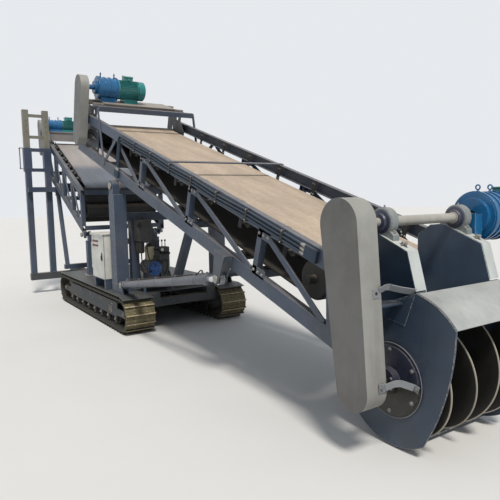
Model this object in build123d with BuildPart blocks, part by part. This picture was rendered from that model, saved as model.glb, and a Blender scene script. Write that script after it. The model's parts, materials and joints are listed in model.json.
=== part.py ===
# Tracked auger belt loader, in millimetres. +X is ahead, towards the auger head,
# +Y is the machine's left, +Z is up, and Z = 0 is the ground under the tracks.
import os
from math import atan2, cos, pi, radians, sin, tan

from build123d import *

os.makedirs("parts", exist_ok=True)

# Crawler tracks
TRACK_X = -1490.0  # middle of the tracks
WHEEL_BASE = 2770.0  # front idler to rear sprocket
TRACK_Y = 681.5  # centre of each track
SHOE_W = 385.0
TRACK_H = 470.0
GROUSER_H = 28.0
GROUSER_T = 14.0
SHOE_T = 30.0
SHOES = 68
FRAME_HALF_W = 140.0
FRAME_PLATE = 15.0
ROLLER_R = 72.0
ROLLERS = 8
LUG_W = 56.0
WHEEL_W = 120.0
SEAT = 0.3  # gap between curved faces that seat on each other

# Deck and the posts that carry the boom
DECK_Z = 478.0
DECK_T = 10.0
DECK_HALF_W = 884.0
DECK_REAR = -2990.0
DECK_FRONT = -100.0
NOSE_REACH = 150.0
NOSE_DROP = 30.0
NOSE_INNER_Y = 480.0
BEAM_Y = 410.0
BEAM_W = 130.0
BEAM_FOOT = 300.0
CROSS_H = 100.0
CROSS_Z = 352.0
SILL_H = 112.0
PIVOT_X = -430.0
PIVOT_Z = 1870.0
POST_L = 200.0
POST_W = 164.0
POST_OUTER_Y = 814.0
POST_WALL = 10.0
POST_DROP = 115.0  # from the pivot down to the top of the wide part
EAR_W = 88.0
EAR_R = 75.0
STAND_Y = -533.0
TUBE = 100.0
TIE_Z = 1465.0
TIE_H = 110.0
BRACE_FOOT_Y = 90.0
BRACE_HEAD_Y = 360.0

# Boom truss, in its own sloping frame: u runs ahead along it, w stands up from it
BOOM_TILT = 17.7
BOOM_HALF_W = 724.0
CHORD_W = 60.0
CHORD_H = 122.0
CHORD_WALL = 8.0
LOWER_W = 142.0
UPPER_W = 618.0
LOWER_REAR = -1800.0
UPPER_REAR = -1500.0
PANEL = 1250.0
FIRST_PANEL = 730.0
PANELS = 3
WEB_W = 60.0
CROSS_TUBE = 70.0
CROSS_BACK = 85.0  # each cross member stands this far behind its upright
HEAD_TOP_U = -150.0  # where the head's two bars meet the upper chord
HEAD_FOOT_U = -560.0
BAR_W = 50.0
BAR_T = 12.0
HOSE_R = 10.0
HOSE_PITCH = 30.0
HOSE_START = 20.0
HOSE_CLIP_PITCH = 500.0
HOSE_CLIPS = 8
HOSE_WAVE = 6.0
HOSE_BEND = 90.0
HOSE_BLOCK = (130.0, 26.0, 90.0)

# Main belt
BELT_HALF_W = 580.0
BELT_T = 12.0
DRUM_R = 145.0
HEAD_U = -1440.0
DRUM_W = 380.0
TAIL_GAP = 12.0  # from the belt's tail to the throat
IDLER_R = 44.0
IDLER_PITCH = 655.0
FIRST_IDLER = -435.0
IDLERS = 7

# Boom head drive
DRIVE_W = 1060.0
DRIVE_DECK_W = 800.0
BOOM_MOTOR_R = 150.0
BOOM_GUARD_Y = -865.0
BOOM_GUARD_T = 120.0
BOOM_GUARD_R = 155.0
HEAD_PLATE_REAR = -1620.0
HEAD_PLATE_FRONT = -1020.0

# Auger head: its axis in the boom's frame, all else level from that axis
AUGER_U = 4562.0
AUGER_W = -19.0
AUGER_R = 410.0
AUGER_SHAFT_R = 70.0
FLIGHT_T = 12.0
FLIGHT_TURNS = 1  # whole turns keep the auger in balance
FLIGHT_STEPS = 24
HOUSING_Y = 445.0
HOUSING_R = 450.0
PLATE = 12.0
SHEET = 8.0
THROAT_Y = 345.0
THROAT_REAR = 435.0  # behind the auger's axis, as are the next two
BULKHEAD_BACK = 270.0
COVER_R = 250.0
BOSS_R = 90.0
JACK_BACK = 115.0
JACK_RISE = 1035.0
JACK_R = 55.0
STUB_R = 35.0
BEARING_Y = 395.0
BEARING_R = 95.0
GUARD_Y = -815.0
GUARD_T = 170.0
GUARD_WALL = 5.0
GUARD_TOP_R = 165.0
GUARD_FOOT_R = 135.0
RUN_GAP = 10.0
MOTOR_Y = 560.0
MOTOR_R = 180.0

# Lift cylinders
LIFT_Y = 770.0
LIFT_BASE_X = -240.0
LIFT_BASE_Z = 600.0
LIFT_EYE_X = 2240.0
LIFT_EYE_Z = 975.0
BARREL_R = 45.0
ROD_R = 28.0
ROD_OUT = 208.0  # from the gland to the rod's eye, as parked
ROD_IN = 550.0
PIN_R = 25.0
EYE_PLAY = 14.0

# Rear discharge conveyor, in its own sloping frame, and its mast
CONV_X = -2290.0
CONV_Z = 1150.0
CONV_TILT = 25.5
CONV_HALF_W = 700.0
CONV_LOWER_W = 121.0
CONV_UPPER_W = 629.0
CONV_CHORD_H = 100.0
CONV_LENGTH = 2107.0
CONV_AHEAD = 90.0  # from the pivot to the plumb front end
CONV_DRUM_R = 130.0
CONV_BELT_HALF_W = 560.0
CONV_BELT_DROP = 25.0  # of the belt's top below the upper chord's
CONV_TAIL_BACK = 240.0  # from the front end to the tail drum's axis
CONV_HEAD_IN = 60.0  # from the rear end to the head drum's axis
CONV_POSTS = 5
CONV_DRIVE_RISE = 475.0
CONV_DRIVE_BACK = 30.0
CONV_MOTOR_R = 100.0
CONV_GUARD_R = 94.0
REAR_STAND_Y = 570.0
MAST_BACK = 1700.0  # behind the conveyor's pivot
MAST_Y = (-775.0, -1115.0)
MAST_TOP = 3330.0
MAST_FOOT = 260.0
PROP_AHEAD = 520.0  # of the mast, at the props' feet
PROP_Y = 640.0
PROP_W = 64.0
MAST_BARS = (1930.0, 2860.0, 3240.0)
SLEEVE_WALL = 10.0
CARRIAGE_Z = 2240.0
CARRIAGE_H = 420.0
CARRIAGE_BEAM_H = 90.0
CARRIAGE_BEAM_T = 100.0
SLIDE_GAP = 6.0


def side(y, base=Plane.XZ):
    """Plane of a side view at distance y to the left, whose normal looks to the right."""
    return Plane(origin=base.origin + Vector(0, y, 0), x_dir=base.x_dir, z_dir=(0, -1, 0))


def sloping(x, z, tilt):
    """Frame at (x, z) whose x runs ahead and down by tilt degrees."""
    a = radians(tilt)
    return Plane(origin=(x, 0, z), x_dir=(cos(a), 0, -sin(a)), z_dir=(sin(a), 0, cos(a)))


def save(part, name):
    part.part.label = name
    export_step(part.part, f"parts/{name}.step")


def bar_between(p, q, y, depth=BAR_W, thickness=BAR_T):
    """Flat bar in a side view, from p to q, depth wide in the view and thick in y."""
    a, b = Vector(*p), Vector(*q)
    along = b - a
    mid = (a + b) / 2
    turn = Axis(origin=(0, 0, 0), direction=(along.X, along.Y, 0)).direction
    angle = Vector(1, 0, 0).get_signed_angle(turn, Vector(0, 0, 1))
    with Locations(Location((mid.X, y, mid.Y), (0, -angle, 0))):
        Box(along.length, thickness, depth)


def shaft(r, y0, y1, mode=Mode.ADD):
    """Cylinder across the machine from y0 to y1, at the current location."""
    with Locations((0, (y0 + y1) / 2, 0)):
        Cylinder(r, abs(y1 - y0), rotation=(90, 0, 0), mode=mode)


def frame_z(x, w, origin_x, origin_z, tilt):
    """Height at x of the line that runs w above a sloping frame's own axis."""
    a = radians(tilt)
    return origin_z - (x - origin_x) * tan(a) + w / cos(a)


BOOM = sloping(PIVOT_X, PIVOT_Z, BOOM_TILT)
CONV = sloping(CONV_X, CONV_Z, CONV_TILT)
auger_at = BOOM.from_local_coords(Vector(AUGER_U, 0, AUGER_W))
HEAD = Plane(origin=auger_at, x_dir=(1, 0, 0), z_dir=(0, 0, 1))
bulk_x = auger_at.X - BULKHEAD_BACK

# Tracks
band_r = TRACK_H / 2 - GROUSER_H
wheel_r = band_r - SHOE_T - SEAT
half_base = WHEEL_BASE / 2


def loop_point(s):
    """Place and turn of the point s along the loop, from the top over the rear wheel."""
    arc = pi * band_r
    s = s % (2 * WHEEL_BASE + 2 * arc)
    if s < WHEEL_BASE:
        return s - half_base, band_r, 90.0
    s -= WHEEL_BASE
    if s < arc:
        turn = 90.0 - 180.0 * s / arc
        return half_base + band_r * cos(radians(turn)), band_r * sin(radians(turn)), turn
    s -= arc
    if s < WHEEL_BASE:
        return half_base - s, -band_r, -90.0
    turn = -90.0 - 180.0 * (s - WHEEL_BASE) / arc
    return -half_base + band_r * cos(radians(turn)), band_r * sin(radians(turn)), turn


loop_length = 2 * WHEEL_BASE + 2 * pi * band_r
for word, sign in (("left", 1), ("right", -1)):
    middle = Plane(origin=(TRACK_X, sign * TRACK_Y, TRACK_H / 2), x_dir=(1, 0, 0), z_dir=(0, -1, 0))
    with BuildPart() as track:
        with BuildSketch(middle):
            SlotCenterToCenter(WHEEL_BASE, 2 * band_r)
            for n in range(SHOES):
                x, z, turn = loop_point((n + 0.5) * loop_length / SHOES)
                with Locations(Location((x, z, 0), (0, 0, turn))):
                    Rectangle(2 * GROUSER_H, GROUSER_T)
            SlotCenterToCenter(WHEEL_BASE, 2 * (band_r - SHOE_T), mode=Mode.SUBTRACT)
        extrude(amount=SHOE_W / 2, both=True)
    save(track, f"track_{word}")

    frame_top = TRACK_H - GROUSER_H - SHOE_T - 52
    roller_z = GROUSER_H + SHOE_T + SEAT + ROLLER_R
    frame_foot = roller_z + ROLLER_R / 2
    body_half = half_base - 270
    roller_step = 2 * (body_half - ROLLER_R) / (ROLLERS - 1)
    arm = 45.0
    with BuildPart() as track_frame:
        for y in (-1, 1):
            with BuildSketch(side(sign * TRACK_Y + y * (FRAME_HALF_W - FRAME_PLATE / 2))):
                with Locations((TRACK_X, (frame_top + frame_foot) / 2)):
                    Rectangle(2 * body_half, frame_top - frame_foot)
                with Locations((TRACK_X, TRACK_H / 2)):
                    SlotCenterToCenter(WHEEL_BASE, 2 * arm)
                with Locations((TRACK_X, roller_z)):
                    with GridLocations(roller_step, 0, ROLLERS, 1):
                        Rectangle(LUG_W, 2 * LUG_W)
            extrude(amount=FRAME_PLATE / 2, both=True)
        with Locations((TRACK_X, sign * TRACK_Y, frame_top - FRAME_PLATE / 2)):
            Box(2 * body_half, 2 * FRAME_HALF_W, FRAME_PLATE)
    save(track_frame, f"track_frame_{word}")

    gap_w = 2 * (FRAME_HALF_W - FRAME_PLATE)
    with BuildPart() as rollers:
        with Locations((TRACK_X, sign * TRACK_Y, roller_z)):
            with GridLocations(roller_step, 0, ROLLERS, 1):
                Cylinder(ROLLER_R, gap_w - 60, rotation=(90, 0, 0))
                Cylinder(ROLLER_R / 2, gap_w, rotation=(90, 0, 0))
        for x in (-half_base, half_base):
            with Locations((TRACK_X + x, sign * TRACK_Y, TRACK_H / 2)):
                Cylinder(wheel_r, WHEEL_W, rotation=(90, 0, 0))
                Cylinder(60, gap_w, rotation=(90, 0, 0))
    save(rollers, f"track_wheels_{word}")

# Chassis frame between the tracks, and the deck with its fenders
inner_frame_y = TRACK_Y - FRAME_HALF_W
mast_x = CONV_X - MAST_BACK
with BuildPart() as chassis_frame:
    for x in (DECK_FRONT - 10, TRACK_X, DECK_REAR + 450):
        with Locations((x, 0, CROSS_Z)):
            Box(CROSS_H, 2 * inner_frame_y, CROSS_H)
    for y in (-BEAM_Y, BEAM_Y):
        with Locations(((DECK_REAR + DECK_FRONT + 50) / 2, y, (BEAM_FOOT + DECK_Z) / 2)):
            Box(DECK_FRONT + 50 - DECK_REAR, BEAM_W, DECK_Z - BEAM_FOOT)
    with Locations((mast_x, (MAST_Y[1] - 60 + BEAM_Y) / 2, MAST_FOOT + 60)):
        Box(120, BEAM_Y - MAST_Y[1] + 60, 120)
    for y in (-BEAM_Y, BEAM_Y):
        with Locations(((DECK_REAR + mast_x) / 2, y, MAST_FOOT + 169)):
            Box(DECK_REAR - mast_x + 120, 90, 98)
save(chassis_frame, "chassis_frame")

with BuildPart() as deck:
    with Locations(((DECK_REAR + DECK_FRONT) / 2, 0, DECK_Z + DECK_T / 2)):
        Box(DECK_FRONT - DECK_REAR, 2 * DECK_HALF_W, DECK_T)
    for s in (-1, 1):
        with BuildSketch(side(s * (DECK_HALF_W + NOSE_INNER_Y) / 2)):
            with BuildLine():
                Polyline(
                    (DECK_FRONT, DECK_Z), (DECK_FRONT, DECK_Z + DECK_T),
                    (DECK_FRONT + NOSE_REACH, DECK_Z + DECK_T - NOSE_DROP),
                    (DECK_FRONT + NOSE_REACH, DECK_Z - NOSE_DROP), close=True,
                )
            make_face()
        extrude(amount=(DECK_HALF_W - NOSE_INNER_Y) / 2, both=True)
save(deck, "deck")

# Posts with their pivot ears, sill, tie beam, braces and the stand on one side
deck_top = DECK_Z + DECK_T
post_mid_y = POST_OUTER_Y - POST_W / 2
ear_mid_y = POST_OUTER_Y - EAR_W / 2
post_foot = deck_top + SILL_H
post_head = PIVOT_Z - POST_DROP
tie_foot = TIE_Z - TIE_H / 2
brace_half = TUBE / 2 / cos(atan2(BRACE_HEAD_Y - BRACE_FOOT_Y, tie_foot - post_foot))
with BuildPart() as posts:
    with Locations((PIVOT_X, 0, deck_top + SILL_H / 2)):
        Box(POST_L, 2 * POST_OUTER_Y, SILL_H)
    for s in (-1, 1):
        with Locations((PIVOT_X, s * post_mid_y, (post_foot + post_head) / 2)):
            Box(POST_L, POST_W, post_head - post_foot)
            Box(
                POST_L - 2 * POST_WALL, POST_W - 2 * POST_WALL, post_head - post_foot - 2 * POST_WALL,
                mode=Mode.SUBTRACT,
            )
        with BuildSketch(side(s * ear_mid_y)):
            with Locations((PIVOT_X, PIVOT_Z)):
                Circle(EAR_R)
            with Locations((PIVOT_X, PIVOT_Z - POST_DROP / 2)):
                Rectangle(2 * EAR_R, POST_DROP)
            with Locations((PIVOT_X, PIVOT_Z)):
                Circle(STUB_R + 0.05, mode=Mode.SUBTRACT)
        extrude(amount=EAR_W / 2, both=True)
        with BuildSketch(Plane.YZ.offset(PIVOT_X)):
            with BuildLine():
                Polyline(
                    (s * (BRACE_FOOT_Y - brace_half), post_foot), (s * (BRACE_FOOT_Y + brace_half), post_foot),
                    (s * (BRACE_HEAD_Y + brace_half), tie_foot), (s * (BRACE_HEAD_Y - brace_half), tie_foot),
                    close=True,
                )
            make_face()
        extrude(amount=TUBE / 2, both=True)
    with Locations((PIVOT_X, STAND_Y, (post_foot + tie_foot) / 2)):
        Box(TUBE, TUBE, tie_foot - post_foot)
    with Locations((PIVOT_X, 0, TIE_Z)):
        Box(TUBE, 2 * (POST_OUTER_Y - POST_W), TIE_H)
save(posts, "boom_posts")

# Boom truss
truss_y = BOOM_HALF_W - CHORD_W / 2
inner_y = BOOM_HALF_W - CHORD_W
web_foot = LOWER_W + CHORD_H / 2
web_head = UPPER_W - CHORD_H / 2
panels = [FIRST_PANEL + n * PANEL for n in range(PANELS)]


def boom_z(x, w):
    return frame_z(x, w, PIVOT_X, PIVOT_Z, BOOM_TILT)


def boom_u(x, w):
    return BOOM.to_local_coords(Vector(x, 0, boom_z(x, w))).X


front_x = bulk_x - WEB_W / 2
front_low = boom_z(front_x, web_foot)
front_high = boom_z(front_x, web_head)
bar_y = BOOM_HALF_W - CHORD_WALL
for word, s in (("left", 1), ("right", -1)):
    with BuildPart(BOOM) as boom_side:
        for rear, w in ((LOWER_REAR, LOWER_W), (UPPER_REAR, UPPER_W)):
            front = boom_u(bulk_x, w) + CHORD_H
            with Locations(((rear + front) / 2, s * truss_y, w)):
                Box(front - rear, CHORD_W, CHORD_H)
                with Locations((0, -s * CHORD_WALL, 0)):
                    Box(front - rear, CHORD_W, CHORD_H - 2 * CHORD_WALL, mode=Mode.SUBTRACT)
        for u in panels:
            with Locations((u, s * truss_y, (web_foot + web_head) / 2)):
                Box(WEB_W, CHORD_W, web_head - web_foot)
                with Locations((0, -s * CHORD_WALL, 0)):
                    Box(WEB_W - 2 * CHORD_WALL, CHORD_W, web_head - web_foot, mode=Mode.SUBTRACT)
        bar_between((HEAD_FOOT_U + 20, web_foot), (HEAD_TOP_U - 30, web_head), s * bar_y)
        ends = [HEAD_TOP_U] + panels + [boom_u(bulk_x - WEB_W, web_foot) + WEB_W / 3]
        for a, b in zip(ends, ends[1:]):
            bar_between((a + WEB_W, web_head), (b - WEB_W, web_foot), s * bar_y)
        split(bisect_by=Plane.YZ.offset(bulk_x), keep=Keep.BOTTOM)
        with BuildSketch(side(s * truss_y)):
            with Locations((front_x, (front_low + front_high) / 2)):
                Rectangle(WEB_W, front_high - front_low + 2 * CHORD_WALL)
        extrude(amount=CHORD_W / 2, both=True)
    save(boom_side, f"boom_side_{word}")

# Hoses clipped along the upper chord on the right, between two coupling blocks
hose_y = -(BOOM_HALF_W + HOSE_R + 0.3)
hose_end = HOSE_START + HOSE_CLIPS * HOSE_CLIP_PITCH
hose_blocks = ((HOSE_START - HOSE_PITCH, LOWER_W + 20), (hose_end - 5 * HOSE_PITCH, UPPER_W))
with BuildPart(BOOM) as hoses:
    for n in (-1, 0, 1):
        run_w = UPPER_W + n * HOSE_PITCH
        points = [(HOSE_START - (n + 1) * HOSE_PITCH, hose_blocks[0][1])]
        points += [(HOSE_START - (n + 1) * HOSE_PITCH, run_w)]
        for k in range(1, HOSE_CLIPS):
            points += [(HOSE_START + k * HOSE_CLIP_PITCH, run_w + HOSE_WAVE * (-1) ** k)]
        points[-1] = (hose_blocks[1][0], run_w)
        with BuildLine(side(hose_y, BOOM)) as path:
            FilletPolyline(*points[:3], radius=HOSE_BEND)
            Polyline(*points[2:])
        run = path.wires()[0]
        with BuildSketch(Plane(origin=run @ 0, z_dir=run % 0)):
            Circle(HOSE_R)
        sweep(path=run, transition=Transition.RIGHT)
    for u, w in hose_blocks:
        with Locations((u, -BOOM_HALF_W - HOSE_BLOCK[1] / 2, w)):
            Box(*HOSE_BLOCK)
save(hoses, "boom_hoses")

with BuildPart(BOOM) as boom_cross:
    for u in [HEAD_FOOT_U + CROSS_BACK] + panels:
        with Locations((u - CROSS_BACK, 0, LOWER_W)):
            Box(CROSS_TUBE, 2 * (BOOM_HALF_W - CHORD_WALL), CROSS_TUBE)
    with Locations((panels[0] + PANEL * 0.61, 0, UPPER_W + CHORD_H / 2 + BAR_T / 2)):
        Box(BAR_W, 2 * BOOM_HALF_W, BAR_T)
save(boom_cross, "boom_cross_members")

# Side plates at the head of the boom, with the platform on them
plate_y = inner_y - PLATE / 2
mid_u = (HEAD_PLATE_REAR + HEAD_PLATE_FRONT) / 2
with BuildPart() as head_plates:
    for s in (-1, 1):
        with BuildSketch(side(s * plate_y, BOOM)):
            with BuildLine():
                Polyline(
                    (HEAD_PLATE_REAR, LOWER_W), (HEAD_PLATE_FRONT, LOWER_W), (HEAD_PLATE_FRONT, 560),
                    (HEAD_PLATE_FRONT - 160, 700), (HEAD_PLATE_FRONT - 160, DRIVE_DECK_W),
                    (HEAD_PLATE_REAR, DRIVE_DECK_W), close=True,
                )
            make_face()
            with Locations((mid_u + 30, 735)):
                Circle(38, mode=Mode.SUBTRACT)
            with Locations((HEAD_U, DRUM_W + 183)):
                Circle(30, mode=Mode.SUBTRACT)
            with Locations((HEAD_U, DRUM_W)):
                Circle(STUB_R + 0.05, mode=Mode.SUBTRACT)
        extrude(amount=PLATE / 2, both=True)
save(head_plates, "boom_head_plates")

beam_h = 70.0
beam_w = DRIVE_DECK_W + beam_h / 2
foot_beam_u = HEAD_PLATE_FRONT + 102
tray_w = DRIVE_DECK_W + beam_h
with BuildPart(BOOM) as platform:
    for u in (HEAD_PLATE_FRONT - 210, HEAD_PLATE_REAR + 30):
        with Locations((u, 0, beam_w)):
            Box(60, 1400, beam_h)
    with Locations((foot_beam_u, 0, beam_w)):
        Box(60, 2 * BOOM_HALF_W, beam_h)
    for s in (-1, 1):
        with Locations(((foot_beam_u + HEAD_PLATE_FRONT - 210) / 2, s * 600, beam_w)):
            Box(foot_beam_u - HEAD_PLATE_FRONT + 160, 10, beam_h)
        bar_between((foot_beam_u, beam_w), (HEAD_FOOT_U + 20, LOWER_W), s * (BOOM_HALF_W + BAR_T / 2))
    with Locations((mid_u - 90, 0, tray_w + 5)):
        Box(500, 1100, 10)
save(platform, "drive_platform")

with BuildPart(BOOM) as boom_drive:
    with Locations((HEAD_U, 0, DRIVE_W)):
        shaft(STUB_R, -745, -600)
        shaft(90, -640, -600)
        shaft(BOOM_MOTOR_R, -600, -300)
        shaft(BOOM_MOTOR_R - 25, -300, 110)
    for y, dx, dy in ((-450, 240, 220), (-100, 200, 200)):
        with Locations((HEAD_U, y, (tray_w + 10 + DRIVE_W - 120) / 2)):
            Box(dx, dy, DRIVE_W - 120 - tray_w - 10)
save(boom_drive, "boom_gearmotor")


# Belts run as closed loops round their drums
def belt(base, head, tail, w, drum_r, half_w, name):
    with BuildPart() as loop:
        with BuildSketch(side(0, base)):
            with Locations(((head + tail) / 2, w)):
                SlotCenterToCenter(tail - head, 2 * (drum_r + BELT_T))
                SlotCenterToCenter(tail - head, 2 * drum_r, mode=Mode.SUBTRACT)
        extrude(amount=half_w, both=True)
    save(loop, name)


def drums(base, ends, w, drum_r, half_w, reach, name):
    """Drums at the two ends of a belt, each on a shaft that reaches the side frames."""
    with BuildPart(base) as pair:
        for u in ends:
            with Locations((u, 0, w)):
                shaft(drum_r - SEAT, -half_w - 12, half_w + 12)
                shaft(STUB_R, -reach, reach)
    save(pair, name)


throat_rear = auger_at.X - THROAT_REAR
tail_x = throat_rear - TAIL_GAP - DRUM_R - BELT_T
tail_u = boom_u(tail_x, DRUM_W)
belt(BOOM, HEAD_U, tail_u, DRUM_W, DRUM_R, BELT_HALF_W, "main_belt")
drums(BOOM, (HEAD_U, tail_u), DRUM_W, DRUM_R, BELT_HALF_W, inner_y, "boom_drums")

carry_w = DRUM_W + DRUM_R - IDLER_R - SEAT
return_w = DRUM_W - DRUM_R - BELT_T - IDLER_R - SEAT
with BuildPart(BOOM) as boom_idlers:
    for n in range(IDLERS):
        u = FIRST_IDLER + n * IDLER_PITCH
        rows = ((carry_w, carry_w - 40, UPPER_W + CHORD_H / 2),)
        if n % 2:
            rows += ((return_w, LOWER_W - CHORD_H / 2, web_foot),)
        for w, low, high in rows:
            with Locations((u, 0, w)):
                shaft(IDLER_R, -BELT_HALF_W - 10, BELT_HALF_W + 10)
                shaft(12, -inner_y + 8, inner_y - 8)
            for s in (-1, 1):
                with Locations((u, s * (inner_y - 4), (low + high) / 2)):
                    Box(50, 8, high - low)
save(boom_idlers, "boom_idlers")

# Hangers under the lower chord: the pivot's and the lift cylinder's
with BuildPart() as boom_pivots:
    for s in (-1, 1):
        with BuildSketch(side(s * (BOOM_HALF_W - 12), BOOM)):
            with BuildLine():
                Polyline(
                    (-130, LOWER_W - CHORD_H / 2), (130, LOWER_W - CHORD_H / 2), (62, -10), (-62, -10),
                    close=True,
                )
            make_face()
            Circle(62)
        extrude(amount=12, both=True)
        with Locations((PIVOT_X, 0, PIVOT_Z)):
            shaft(STUB_R, s * (BOOM_HALF_W - 12), s * (POST_OUTER_Y + 6))
save(boom_pivots, "boom_pivot_hangers")

eye_local = BOOM.to_local_coords(Vector(LIFT_EYE_X, 0, LIFT_EYE_Z))
with BuildPart() as lift_hangers:
    for s in (-1, 1):
        for y in (BOOM_HALF_W + 6, 2 * LIFT_Y - BOOM_HALF_W - 6):
            with BuildSketch(side(s * y, BOOM)):
                with BuildLine():
                    Polyline(
                        (eye_local.X - 90, web_foot), (eye_local.X + 90, web_foot),
                        (eye_local.X + 50, eye_local.Z), (eye_local.X - 50, eye_local.Z),
                        close=True,
                    )
                make_face()
                with Locations((eye_local.X, eye_local.Z)):
                    Circle(50)
            extrude(amount=6, both=True)
        with BuildSketch(side(s * LIFT_Y, BOOM)):
            with Locations((eye_local.X, web_foot - 30)):
                Rectangle(160, 60)
        extrude(amount=LIFT_Y - BOOM_HALF_W - 12, both=True)
        with Locations((LIFT_EYE_X, 0, LIFT_EYE_Z)):
            shaft(PIN_R, s * (BOOM_HALF_W + 6), s * (2 * LIFT_Y - BOOM_HALF_W - 6))
save(lift_hangers, "lift_hangers")

# Chain guard at the boom's head


def chain_guard(base, y, t, ends, name, brackets=(), bores=()):
    """Hollow guard from y to y + t; ends holds two (x, z, r), bores holds (x, z, r) in its back."""
    with BuildPart() as guard:
        for grow, lo, hi, mode in (
            (0, y, y + t, Mode.ADD),
            (-GUARD_WALL, y + GUARD_WALL, y + t - GUARD_WALL, Mode.SUBTRACT),
        ):
            with BuildSketch(side((lo + hi) / 2, base)):
                for x, z, r in ends:
                    with Locations((x, z)):
                        Circle(r + grow)
                make_hull()
            extrude(amount=(hi - lo) / 2, both=True, mode=mode)
        for x, z, r in bores:
            with BuildSketch(side(y + t, base)):
                with Locations((x, z)):
                    Circle(r)
            extrude(amount=2 * GUARD_WALL, both=True, mode=Mode.SUBTRACT)
        for x, z, dx, dz, y1 in brackets:
            with BuildSketch(side((y + t + y1) / 2, base)):
                with Locations((x, z)):
                    Rectangle(dx, dz)
            extrude(amount=(y1 - y - t) / 2, both=True)
    save(guard, name)


chain_guard(
    BOOM, BOOM_GUARD_Y, BOOM_GUARD_T, ((HEAD_U, DRUM_W, BOOM_GUARD_R), (HEAD_U, DRIVE_W, BOOM_GUARD_R)),
    "boom_chain_guard",
    brackets=((HEAD_U, UPPER_W, 80, 60, -BOOM_HALF_W), (HEAD_PLATE_REAR + 30, beam_w, 50, 50, -700)),
)

# Auger head: bulkheads at the truss's front, throat, housing, lip and covers
bulk_low = boom_z(bulk_x, LOWER_W - CHORD_H / 2)
bulk_high = boom_z(bulk_x, UPPER_W + CHORD_H / 2)
ledge_front = (187, 597)
ledge = [ledge_front, (-10, 520), (-450, 416)]
brow = [(-323, 973), (-200, 985), (115, 853), (184, 609)]
lip_foot = (475, 415)
lip_crown = (344, 534)
bulk_step = auger_at.Z + 470
with BuildPart() as bulkheads:
    for s in (-1, 1):
        with BuildSketch(Plane.YZ.offset(bulk_x)):
            with BuildLine():
                Polyline(
                    (s * HOUSING_Y, bulk_low), (s * BOOM_HALF_W, bulk_low), (s * BOOM_HALF_W, bulk_high),
                    (s * (THROAT_Y + 4), bulk_high), (s * (THROAT_Y + 4), bulk_step),
                    (s * HOUSING_Y, bulk_step), close=True,
                )
            make_face()
        extrude(amount=PLATE)
save(bulkheads, "head_bulkheads")

with BuildPart() as throat:
    for s in (-1, 1):
        with BuildSketch(side(s * THROAT_Y, HEAD)):
            with BuildLine():
                Polyline(
                    (-THROAT_REAR, 420), (-THROAT_REAR, 898), *brow[:3], *ledge[:2], close=True,
                )
            make_face()
        extrude(amount=SHEET / 2, both=True)
        for path, out_y in ((brow, HOUSING_Y), (ledge, HOUSING_Y - PLATE)):
            with BuildSketch(side(s * (THROAT_Y + out_y) / 2, HEAD)):
                with BuildLine() as edge:
                    Polyline(*path)
                trace(edge.line, line_width=SHEET)
            extrude(amount=(out_y - THROAT_Y) / 2, both=True)
save(throat, "throat")

rear_angle = radians(175)
rear_low = (HOUSING_R * cos(rear_angle), HOUSING_R * sin(rear_angle))
with BuildPart() as housing:
    for s in (-1, 1):
        with BuildSketch(side(s * (HOUSING_Y - PLATE / 2), HEAD)):
            with BuildLine():
                Polyline(rear_low, *ledge[::-1])
                ThreePointArc(ledge_front, lip_crown, lip_foot)
                ThreePointArc(lip_foot, (405, -25), (250, -374))
                ThreePointArc((250, -374), (0, -HOUSING_R), rear_low)
            make_face()
            Circle(BOSS_R, mode=Mode.SUBTRACT)
        extrude(amount=PLATE / 2, both=True)
    with BuildSketch(side(0, HEAD)):
        with BuildLine() as back:
            trough = CenterArc((0, 0), HOUSING_R - SHEET, 165, 120)
            Line(trough @ 0, ((trough @ 0).X, 400))
        trace(back.line, line_width=SHEET)
    extrude(amount=HOUSING_Y - PLATE, both=True)
save(housing, "auger_housing")

with BuildPart() as lip:
    with BuildSketch(side(0, HEAD)):
        with BuildLine() as lip_line:
            ThreePointArc(ledge_front, lip_crown, lip_foot)
        trace(lip_line.line, line_width=SHEET)
        with Locations(ledge_front):
            Circle(1.5 * SHEET, mode=Mode.SUBTRACT)
    extrude(amount=HOUSING_Y - PLATE, both=True)
save(lip, "lip_plate")

with BuildPart(HEAD) as covers:
    for s in (-1, 1):
        shaft(COVER_R, s * HOUSING_Y, s * (HOUSING_Y + PLATE))
        shaft(COVER_R - 20, s * HOUSING_Y, s * (HOUSING_Y + PLATE + 10))
        shaft(BOSS_R, s * HOUSING_Y, s * (HOUSING_Y + 75))
        shaft(STUB_R + 0.05, s * (HOUSING_Y - 10), s * (HOUSING_Y + 90), mode=Mode.SUBTRACT)
save(covers, "auger_end_covers")


def flight(y0, y1, hand):
    """Flat-sided ribbon that winds round the auger's axis from y0 to y1."""
    count = FLIGHT_TURNS * FLIGHT_STEPS
    turn = hand * 2 * pi / FLIGHT_STEPS

    def at(k, r, back):
        a = k * turn
        y = y0 + (y1 - y0) * k / count + back * FLIGHT_T
        return (r * cos(a), y, r * sin(a))

    inner, outer = AUGER_SHAFT_R - 4, AUGER_R
    faces = []

    def add_face(*points):
        faces.append(Face(Wire.make_polygon([Vector(*p) for p in points], close=True)))

    for k in range(count):
        for back in (0, 1):
            a, b = at(k, inner, back), at(k, outer, back)
            c, d = at(k + 1, outer, back), at(k + 1, inner, back)
            add_face(a, b, c)
            add_face(a, c, d)
        for r in (inner, outer):
            add_face(at(k, r, 0), at(k + 1, r, 0), at(k + 1, r, 1), at(k, r, 1))
    for k in (0, count):
        add_face(at(k, inner, 0), at(k, outer, 0), at(k, outer, 1), at(k, inner, 1))
    return Solid(Shell(faces))


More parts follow.
